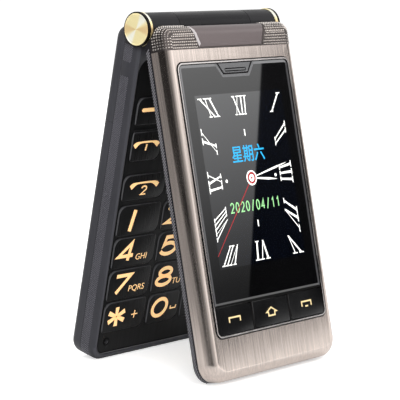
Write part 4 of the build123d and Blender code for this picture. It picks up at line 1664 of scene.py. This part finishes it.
@dataclass
class Keypad:
    """The brushed plate, the leaf-shaped keys and their legends."""

    digit: Numbers = Numbers(6.9, 7.6, 1.25, slant=0.2)
    small_digit: Numbers = Numbers(3.1, 2.7, 0.5, slant=0.1)
    letters: Lettering = Lettering(2.05, slant=0.1, stretch=1.08)
    letters_of: tuple[str, ...] = ("ABC", "DEF", "GHI", "JKL", "MNO", "PQRS", "TUV", "WXYZ", "")
    plate_corner: float = 3.0
    rim_depth: float = 0.05
    microphone: Pair = (-23.7, -100.2)
    lip: float = 0.35
    lip_height: float = 0.2
    cap_height: float = 1.45
    wide_key: float = 16.0
    ink: float = 0.02

    def build(self) -> None:
        """Makes the plate, every key and every legend."""
        refined("keypad_plate", crease=25)
        span = Span.of("keypad_plate")
        low, high = span.high - self.rim_depth, span.high + self.rim_depth
        # painted highlight: a pale line round the plate
        for name, room, width, finish in (("plate_rim_line", 0.18, 0.34, RIM_HIGHLIGHT),
                                          # painted shade: a dark line inside the pale one
                                          ("plate_rim_gap", 0.52, 0.36, GAP_SHADE)):
            line = rounded(inset(span.corners, room), self.plate_corner - room, 10)
            piece(name, ribbon(line, width, low, high, True), finish, "base")
        # painted shade: a dark ring round the microphone hole
        surround = np.array([(0.95, low), (1.35, low), (1.35, high), (0.95, high)])
        piece("microphone_surround", lathe(surround, self.microphone, 40), GAP_SHADE, "base")
        leaves = {"soft_key_left": Leaf.NEAR, "call_key_1": Leaf.FAR,
                  "soft_key_right": Leaf.NEAR_MIRRORED, "end_key": Leaf.FAR_MIRRORED}
        middle_keys = ("dpad_ring", "ok_key")
        for node in BODY_OF:
            if SLOT_OF[node] == "keys" and node not in middle_keys:
                self.cap(node, leaves.get(node, Leaf.BOTH))
        for node in middle_keys:
            refined(node, crease=22)
        for number, letters in zip("234567890", self.letters_of):
            self.number(f"key_{number}", number, letters)
        self.put("key_hash", self.digits(self.digit, "key_hash", "#",
                                         self.spot("key_hash", 5.45, 4.7)))
        self.put("key_1", self.drawn("key_1", self.spot("key_1", 6.2, 5.0), 1.45,
                                     [(-0.8, -3.4), (0.8, 3.4)]))
        self.star()
        self.call("call_key_1", 5.2, False)
        self.call("call_key_2", 5.95, True)
        self.dash("soft_key_left", -1.0)
        self.dash("soft_key_right", 1.0)
        self.end()
        self.torch()
        self.clear()
        self.ring()

    def cap(self, node: str, leaf: Leaf) -> None:
        """Makes a key: a lip under the plate, a wall, a rolled edge and a flat top.

        Args:
            node: The CAD key that it stands for.
            leaf: Which of its corners are drawn out.
        """
        span, top = Span.of(node), self.cap_height
        rolled = ((0.0, self.lip_height), (0.0, 1.2), (0.05, 1.32), (0.16, 1.41), (0.34, top))
        loops = [(rounded(span.corners, leaf.value), height)
                 for height in (span.low, self.lip_height)]
        loops += [(rounded(inset(span.corners, self.lip + room),
                           [max(radius - room, 0.2) for radius in leaf.value]),
                   span.high - top + height) for room, height in rolled]
        item = piece(f"{node}_cap", stacked(loops), KEYS, BODY_OF[node], 40)
        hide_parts(node)

    def spot(self, node: str, right: float, below: float) -> Pair:
        """A place on a key, from its left and near edges, leaving out its hidden lip."""
        span = Span.of(node)
        return span.left + self.lip + right, span.near + self.lip + below

    def about(self, node: str, right: float = 0.0, below: float = 0.0) -> Pair:
        """A place on a key, from its middle."""
        x, reach = Span.of(node).middle
        return x + right, reach + below

    def drawn(self, node: str, place: Floats, widths: Each,
              *paths: Line, closed: bool = False) -> list[Shape]:
        """Draws bands on a key's top.

        Args:
            node: The key.
            place: Where they are drawn, x and reach.
            widths: Their width, or one width for each point.
            paths: Their lines about that place.
            closed: Whether the lines close.

        Returns:
            The bands.
        """
        top = Span.of(node).high
        return [ribbon(np.array(path) + down(*place), widths, top - self.ink,
                       top + self.ink, closed) for path in paths]

    def digits(self, style: Numbers, node: str, text: str, place: Floats) -> list[Shape]:
        """A number on a key's top, in one style."""
        return style.shapes(text, place, Span.of(node).high, self.ink)

    def put(self, node: str, shapes: Sequence[Shape]) -> None:
        """Prints a legend on a key."""
        piece(f"{node}_legend", Shape.joined(shapes), LEGEND, BODY_OF[node])

    def number(self, node: str, number: str, letters: str) -> None:
        """Puts a digit at the left and its letters, or else a cup, at the lower right.

        Args:
            node: The key.
            number: Its digit.
            letters: Its letters, if any.
        """
        span = Span.of(node)
        wide = span.right - span.left > self.wide_key
        shapes = self.digits(self.digit, node, number, self.spot(node, 5.75 if wide else 5.3, 4.7))
        if letters:
            place = self.spot(node, 12.6 if wide else 12.2, 6.75)
            shapes.append(self.letters.shape(letters, place, span.high, self.ink))
        else:
            shapes += self.drawn(node, self.spot(node, 11.7, 5.4), 0.4,
                                 [(-1.2, 0.55), (-1.3, -0.4), (1.1, -0.4), (1.3, 0.55)])
        self.put(node, shapes)

    def star(self) -> None:
        """Six rays that widen outwards, stretched across, and a small plus sign."""
        angle = np.radians(60 * np.arange(6) + 90)
        aims = np.column_stack((np.cos(angle) * 1.28, np.sin(angle)))
        rays = self.drawn("key_star", self.spot("key_star", 5.6, 4.9), np.array((1.05, 1.55)),
                          *(np.stack((aim * 0.2, aim * 3.15)) for aim in aims))
        plus = self.drawn("key_star", self.spot("key_star", 13.6, 5.2), 0.36,
                          [(-1.35, 0.0), (1.35, 0.0)], [(-0.1, -1.25), (0.1, 1.25)])
        self.put("key_star", rays + plus)

    def call(self, node: str, half: float, second: bool) -> None:
        """A handset, an arch with thick drooping ends, over a small number.

        The arch is y = h (1 - t^4) over t from -1 to 1, and its width grows towards the ends.

        Args:
            node: The key.
            half: Half the arch's width.
            second: Whether the number is 2 and not 1.
        """
        part = np.linspace(-1, 1, 33)
        rise = np.clip((np.abs(part) - 0.45) / 0.5, 0, 1)
        arch = self.drawn(node, self.about(node, 0.0, -0.1), 0.6 + rise * rise * (3 - 2 * rise),
                          np.column_stack((part * half, 1.3 * (1 - part ** 4))))
        if second:
            number = self.digits(self.small_digit, node, "2", self.about(node, 0.0, 1.1))
        else:
            number = self.drawn(node, self.about(node, 0.0, 0.35), 0.62, [(-0.2, -1.0), (0.2, 1.0)])
        self.put(node, arch + number)

    def dash(self, node: str, shift: float) -> None:
        """A short thick bar whose ends are round: the width falls as a circle's does.

        Args:
            node: The key.
            shift: How far right of the key's middle it stands.
        """
        part = np.linspace(-1, 1, 17)
        end = np.clip((np.abs(part) - 0.84) / 0.16, 0, 1)
        self.put(node, self.drawn(node, self.about(node, shift, -0.4),
                                  1.2 * np.sqrt(np.clip(1 - end ** 2, 0.05, 1)),
                                  np.column_stack((part * 3.3, part * 0))))

    def end(self) -> None:
        """A handset turned down, y = 0.9 - 1.9 |t|^3, under a short bar."""
        node, part = "end_key", np.linspace(-1, 1, 33)
        widths = 0.55 + 0.75 * np.clip((np.abs(part) - 0.55) / 0.4, 0, 1)
        arch = self.drawn(node, self.about(node, 0.0, 0.9), widths,
                          np.column_stack((part * 4.4, 0.9 - 1.9 * np.abs(part) ** 3)))
        self.put(node, arch + self.drawn(node, self.about(node, 0.0, -1.9), 0.5,
                                         [(0.0, -0.9), (0.0, 0.9)]))

    def torch(self) -> None:
        """A small lamp: a tapered head on a handle, with three rays."""
        node, place = "torch_key", self.about("torch_key")
        body = self.drawn(node, place, np.array((1.2, 1.2, 2.4)),
                          [(-3.2, 0.0), (0.4, 0.0), (1.6, 0.0)])
        self.put(node, body + self.drawn(node, place, 0.34,
                                         *([(2.4, y * 0.7), (4.0, y * 1.3)] for y in (-1, 0, 1))))

    def clear(self) -> None:
        """A left-pointing box with a small cross, the usual sign for clearing."""
        node, place = "clear_key", self.about("clear_key")
        box = [(-3.0, 0.0), (-1.6, -1.5), (2.8, -1.5), (2.8, 1.5), (-1.6, 1.5)]
        cross = [(-0.3, -0.7), (1.3, 0.7)], [(-0.3, 0.7), (1.3, -0.7)]
        self.put(node, self.drawn(node, place, 0.4, box, closed=True)
                 + self.drawn(node, place, 0.34, *cross))

    def ring(self) -> None:
        """Four small arrowheads on the ring, each a quarter turn on, and OK on the middle key."""
        node, span = "dpad_ring", Span.of("dpad_ring")
        far_x, far_y = (span.right - span.left) / 2 - 3.1, (span.far - span.near) / 2 - 2.9
        arrows, path = [], np.array([(-0.5, 1.1), (0.5, 0.0), (-0.5, -1.1)])
        for right, up in ((far_x, 0), (0, far_y), (-far_x, 0), (0, -far_y)):
            arrows += self.drawn(node, self.about(node, right, -up), 0.42, path)
            path = leftward(path)
        self.put(node, arrows)
        word, place = Lettering(2.5, stretch=1.15, weight=0.12), self.about("ok_key")
        self.put("ok_key", [word.shape("OK", place, Span.of("ok_key").high, self.ink)])


# ---- base and hinge
@dataclass
class BaseShells:
    """The two shells and the battery cover, with the crosshatched strip round the side."""

    near_corner: float = 3.6
    far_corner: float = 5.0
    pitch: float = 0.7
    pip: float = 0.189
    pip_height: float = 0.12
    low: float = -4.1
    high: float = -0.6
    start: float = 5.2
    smooth_near: float = 10.5
    smooth_far: float = 15.0
    socket_half: float = 6.5
    floor_room: float = 1e-5

    def build(self) -> None:
        """Makes the shells and their crosshatch."""
        refined("base_front_shell", FRONT_SHELL)
        for node in ("base_rear_shell", "battery_cover"):
            refined(node)
        pips = self.crosshatch().turned(math.pi / 4)
        piece("base_side_crosshatch", pips.shape(self.pip_height, 0.35), CROSSHATCH, "base")

    def crosshatch(self) -> Pips:
        """Sets small diamonds in staggered rows round the sides and the free end.

        Returns:
            The diamonds, as pips not yet turned onto their corners.
        """
        span = Span.of("base_front_shell")
        places, facing, _ = rounded_path(span.right, 0.5, span.far, self.near_corner,
                                         self.far_corner, self.pitch)
        fields = []
        for number, height in enumerate(np.arange(self.low, self.high, self.pitch / 2)):
            half_step = (np.roll(places, -1, axis=0) - places) * 0.5 * (number % 2)
            fields.append(Pips(raised(places + half_step, height), raised(facing, 0.0),
                               raised(leftward(facing), 0.0), self.pip, self.pip))
        pips = Pips.joined(fields)
        x, y, _ = pips.places.T
        ends = (-y > span.far - 1.0) & (np.abs(x) < self.socket_half)
        plain = (-y > self.smooth_near) & (-y < self.smooth_far)
        tips = Half.BASE.tent(pips.places + pips.normals * self.pip_height)
        clear = tips[:, 2] > CAD_BOX[0][2] + self.floor_room
        return pips.kept((-y > self.start) & ~ends & ~plain & clear)


@dataclass
class Back:
    """The camera ring, its window and the torch on the rear shell."""

    ring_steps: Pairs = ((0.02, 0.35), (0.02, 0.1), (0.2, -0.06), (1.15, -0.06), (1.35, 0.08),
                         (1.35, 0.35))

    def build(self) -> None:
        """Makes the pieces of the back."""
        window = Span.of("camera_window")
        outer, face = (window.right - window.left) / 2, window.low - 0.15
        profile = np.array(self.ring_steps) + (outer, face)
        piece("camera_trim_ring", lathe(profile, down(*window.middle)), STEEL, "base", 30)
        refined("camera_window", INNER_GLASS, 25)
        refined("torch_led", crease=25)


@dataclass
class Hinge:
    """The turned gold end caps: a stem, a ring, and a faced disc in a dark collar of painted shadow."""

    stem_radius: float = 3.2
    ring_radius: float = 5.15
    collar_radius: float = 5.23
    disc_radius: float = 4.84
    land: float = 0.4
    ring_start: float = 28.2
    collar_start: float = 29.35
    collar_depth: float = 0.22

    def build(self) -> None:
        """Makes both caps; each is drawn upright and then laid along x."""
        for node in ("hinge_cap_left", "hinge_cap_right"):
            self.cap(node)

    def cap(self, node: str) -> None:
        """Makes one cap, from its stem's start to its disc's end.

        Args:
            node: The CAD cap that it stands for.
        """
        span = Span.of(node)
        right = span.left > 0
        inner, outer = sorted((abs(span.left), abs(span.right)))
        disc, face, start = self.disc_radius, self.disc_radius - self.land, self.collar_start
        ring, foot = self.ring_radius, self.ring_start
        profile = np.array([
            (0, inner), (self.stem_radius, inner), (self.stem_radius, foot), (ring - 0.1, foot),
            (ring, foot + 0.1), (ring, start), (disc, start + 0.05), (disc, outer - 0.3),
            (disc - 0.08, outer - 0.1), (disc - 0.25, outer), (face, outer),
            (face - 0.1, outer - 0.1), (0, outer - 0.16)])
        item = piece(f"{node}_turned", self.laid(lathe(profile, count=96), right), GOLD,
                     BODY_OF[node], 24)
        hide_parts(node)
        # painted shadow: a dark collar round the disc
        radius, end = self.collar_radius, outer - self.collar_depth
        collar = np.array([(disc - 0.3, start - 0.1), (radius, start - 0.1), (radius, end - 0.1),
                           (radius - 0.1, end), (disc - 0.3, end)])
        piece(f"{node}_collar", self.laid(lathe(collar, count=96), right), COLLAR_SHADOW,
              BODY_OF[node], 30)

    def laid(self, shape: Shape, right: bool) -> Shape:
        """Turns an upright shape by a quarter about y, so that its top points out sideways."""
        x, y, z = shape.points.T
        return Shape(np.column_stack((z, y, -x) if right else (-z, y, x)), shape.faces)


def finish_the_rest() -> None:
    """Gives every CAD node its slot's finish, whether or not a piece stands for it."""
    for node, item in frame["nodes"].items():
        item.data.materials.clear()
        item.data.materials.append(painted(SLOT_FINISH[SLOT_OF[node]], Half.of(BODY_OF[node])))
        LOG.info("%s: finished as it is", node)


# ---- studio
@dataclass
class Card:
    """A card that only reflections see, lit by a curve along one of its axes.

    Its UV map runs from minus half to half its size along each axis, in mm.
    """

    name: str
    centre: Triple
    across: Triple
    up: Triple
    half: Pair
    stops: Pairs

    def shade(self) -> Shade:
        """Puts up the card.

        Returns:
            Its empty material, whose place is its UV map.
        """
        middle, across, up = (np.array(part) for part in (self.centre, self.across, self.up))
        signs = np.array([(-1, -1), (1, -1), (1, 1), (-1, 1)])
        flat = signs * self.half
        mesh = bpy.data.meshes.new(self.name)
        mesh.from_pydata(middle + flat[:, :1] * across + flat[:, 1:] * up, [], [(0, 1, 2, 3)])
        mesh.uv_layers.new(name="card").data.foreach_set("uv", (flat / MM).ravel())
        item = linked(self.name, mesh)
        item.visible_camera = item.visible_diffuse = item.visible_shadow = False
        item.visible_transmission = item.visible_volume_scatter = False
        shade = Shade(self.name, Half.LID)
        shade.place = shade.coordinates("UV")
        mesh.materials.append(shade.material)
        return shade

    def light(self) -> None:
        """Puts up the card with its curve along its first axis."""
        shade = self.shade()
        shade.light(shade.curve(shade.axes()[0], self.stops))


FACE_CARD = Card("face_card", (0.4539, -0.4018, 0.1507), (0.6462, 0.7632, 0),
                 (-0.1175, 0.0995, 0.9881), (0.3, 0.3),
                 ((-300, 1.62), (-112, 1.62), (-101, 0.08), (-88, 0.04), (-78, 0.07),
                  (-60, 0.11), (-30, 0.26), (0, 0.46), (40, 0.72), (72, 0.95), (88, 1.1),
                  (97, 1.55), (300, 1.6)))
SIDE_CARD = Card("side_card", (-0.5, 0.0, 0.15), (0, 1, 0), (0, 0, 1), (0.56, 0.45),
                 ((-560, 0.3), (-470, 0.16), (-400, 0.08), (-280, 0.03), (330, 0.04),
                  (380, 0.2), (440, 0.3), (560, 0.3)))
FRONT_CARD = Card("front_card", (-0.15, -0.8, 0.25), (1, 0, 0), (0, 0, 1), (0.6, 0.55),
                  ((-600, 0.1), (-380, 0.14), (-35, 0.5), (255, 1.0), (574, 1.6)))


@dataclass
class Studio:
    """Floor, world, lamps, cards for the reflections, and the camera."""

    eye: Triple = (-0.4072, -0.36735, 0.13009)
    right: Triple = (0.6668, -0.7451, 0.0145)
    up: Triple = (0.0997, 0.1084, 0.9891)
    lens: float = 159.69
    shift: Pair = (-0.04178, 0.01156)
    aim: Triple = (0.0, 0.0, 0.055)
    soft: float = 0.7
    floor_half: float = 4.0
    floor_lift: float = 0.5
    floor_paint: float = 0.85
    floor_dim: float = 0.26
    split_slope: float = 0.388

    def build(self) -> None:
        """Sets up everything round the phone."""
        self.world()
        self.floor()
        self.face_card()
        SIDE_CARD.light()
        FRONT_CARD.light()
        self.lamp("key_lamp", (-0.55, -0.75, 0.75), 0.5, 7.0)
        self.lamp("side_lamp", (-0.7, -0.27, 0.12), 0.35, 5.0)
        self.lamp("back_lamp", (0.4, 0.7, 0.7), 0.5, 4.0)
        self.camera()
        bpy.context.scene.view_settings.view_transform = "Standard"

    def world(self) -> None:
        """White where it is seen or mirrored, softer where it lights."""
        world = bpy.data.worlds.new("studio_world")
        bpy.context.scene.world = world
        world.use_nodes = True
        tree = Tree(world.node_tree)
        soft, white = (tree.add("Background", (WHITE, strength)).outputs[0]
                       for strength in (self.soft, 1.0))
        seen = tree.rays("Camera", "Glossy", "Transmission")
        mixed = tree.add("MixShader", (seen, soft, white)).outputs[0]
        tree.add("OutputWorld", {"Surface": mixed})

    def floor(self) -> None:
        """A wide plain floor: white paint, lifted to white where it is seen directly.

        Glossy rays find it darker on the left, so that the lid's side stays dark.
        """
        flat = box_corners(*(part * self.floor_half for part in (-1, 1, -1, 1)))[::-1]
        mesh = bpy.data.meshes.new("floor")
        mesh.from_pydata(raised(flat, CAD_BOX[0][2]), [], [(0, 1, 2, 3)])
        shade = Shade("floor_white", Half.LID)
        left = shade.ramp(shade.axes()[0], -30.0, -120.0, kind="LINEAR")
        paint = shade.mix(shade.times(left, shade.rays("Glossy")), (self.floor_paint,) * 3,
                          (self.floor_dim,) * 3)
        lift = shade.times(shade.rays("Camera"), self.floor_lift)
        mesh.materials.append(shade.dress(colour=paint, roughness=0.9, specular=0.0,
                                          glow_colour=WHITE, glow=lift))
        linked("floor", mesh)

    def face_card(self) -> None:
        """The card that the glass mirrors: bright at the upper left, dark to the right."""
        shade = FACE_CARD.shade()
        across, up, _ = shade.axes()
        split = shade.maths("SUBTRACT", across, shade.times(up, self.split_slope))
        dark = shade.times(shade.ramp(split, -0.6, 0.8), shade.window(up, -101, 84, 3))
        left = shade.maths("SUBTRACT", 1.0, shade.times(dark, 0.97))
        shade.light(shade.times(shade.curve(up, FACE_CARD.stops), left))

    def lamp(self, name: str, place: Floats, size: float, power: float) -> None:
        """Hangs a soft square lamp that looks at the phone.

        Args:
            name: Its name.
            place: Where it hangs, m.
            size: Its side, m.
            power: Its power, W.
        """
        light = bpy.data.lights.new(name, "AREA")
        light.size, light.energy = size, power
        item = linked(name, light)
        item.location, item.visible_glossy = place, False
        item.rotation_euler = (Vector(self.aim) - Vector(place)).to_track_quat("-Z", "Y").to_euler()

    def camera(self) -> None:
        """The camera, by its own axes: right, up and, as their cross product, back."""
        matrix = np.eye(4)
        matrix[:3] = np.column_stack((self.right, self.up, np.cross(self.right, self.up), self.eye))
        data = bpy.data.cameras.new("camera")
        data.lens, data.sensor_width = self.lens, 36.0
        data.shift_x, data.shift_y = self.shift
        data.clip_start, data.clip_end = 0.01, 20
        item = bpy.context.scene.camera = linked("camera", data)
        item.matrix_world = Matrix(matrix)


def main() -> None:
    """Builds every sub-assembly in order, then the studio."""
    for part in (LidShells(), Face(), Dial(), LidInside(), BaseShells(), Keypad(), Back(), Hinge()):
        LOG.info("building %s", type(part).__name__)
        part.build()
    finish_the_rest()
    Studio().build()


if __name__ == "__main__":
    logging.basicConfig(level=logging.INFO, format="%(name)s: %(message)s")
    main()
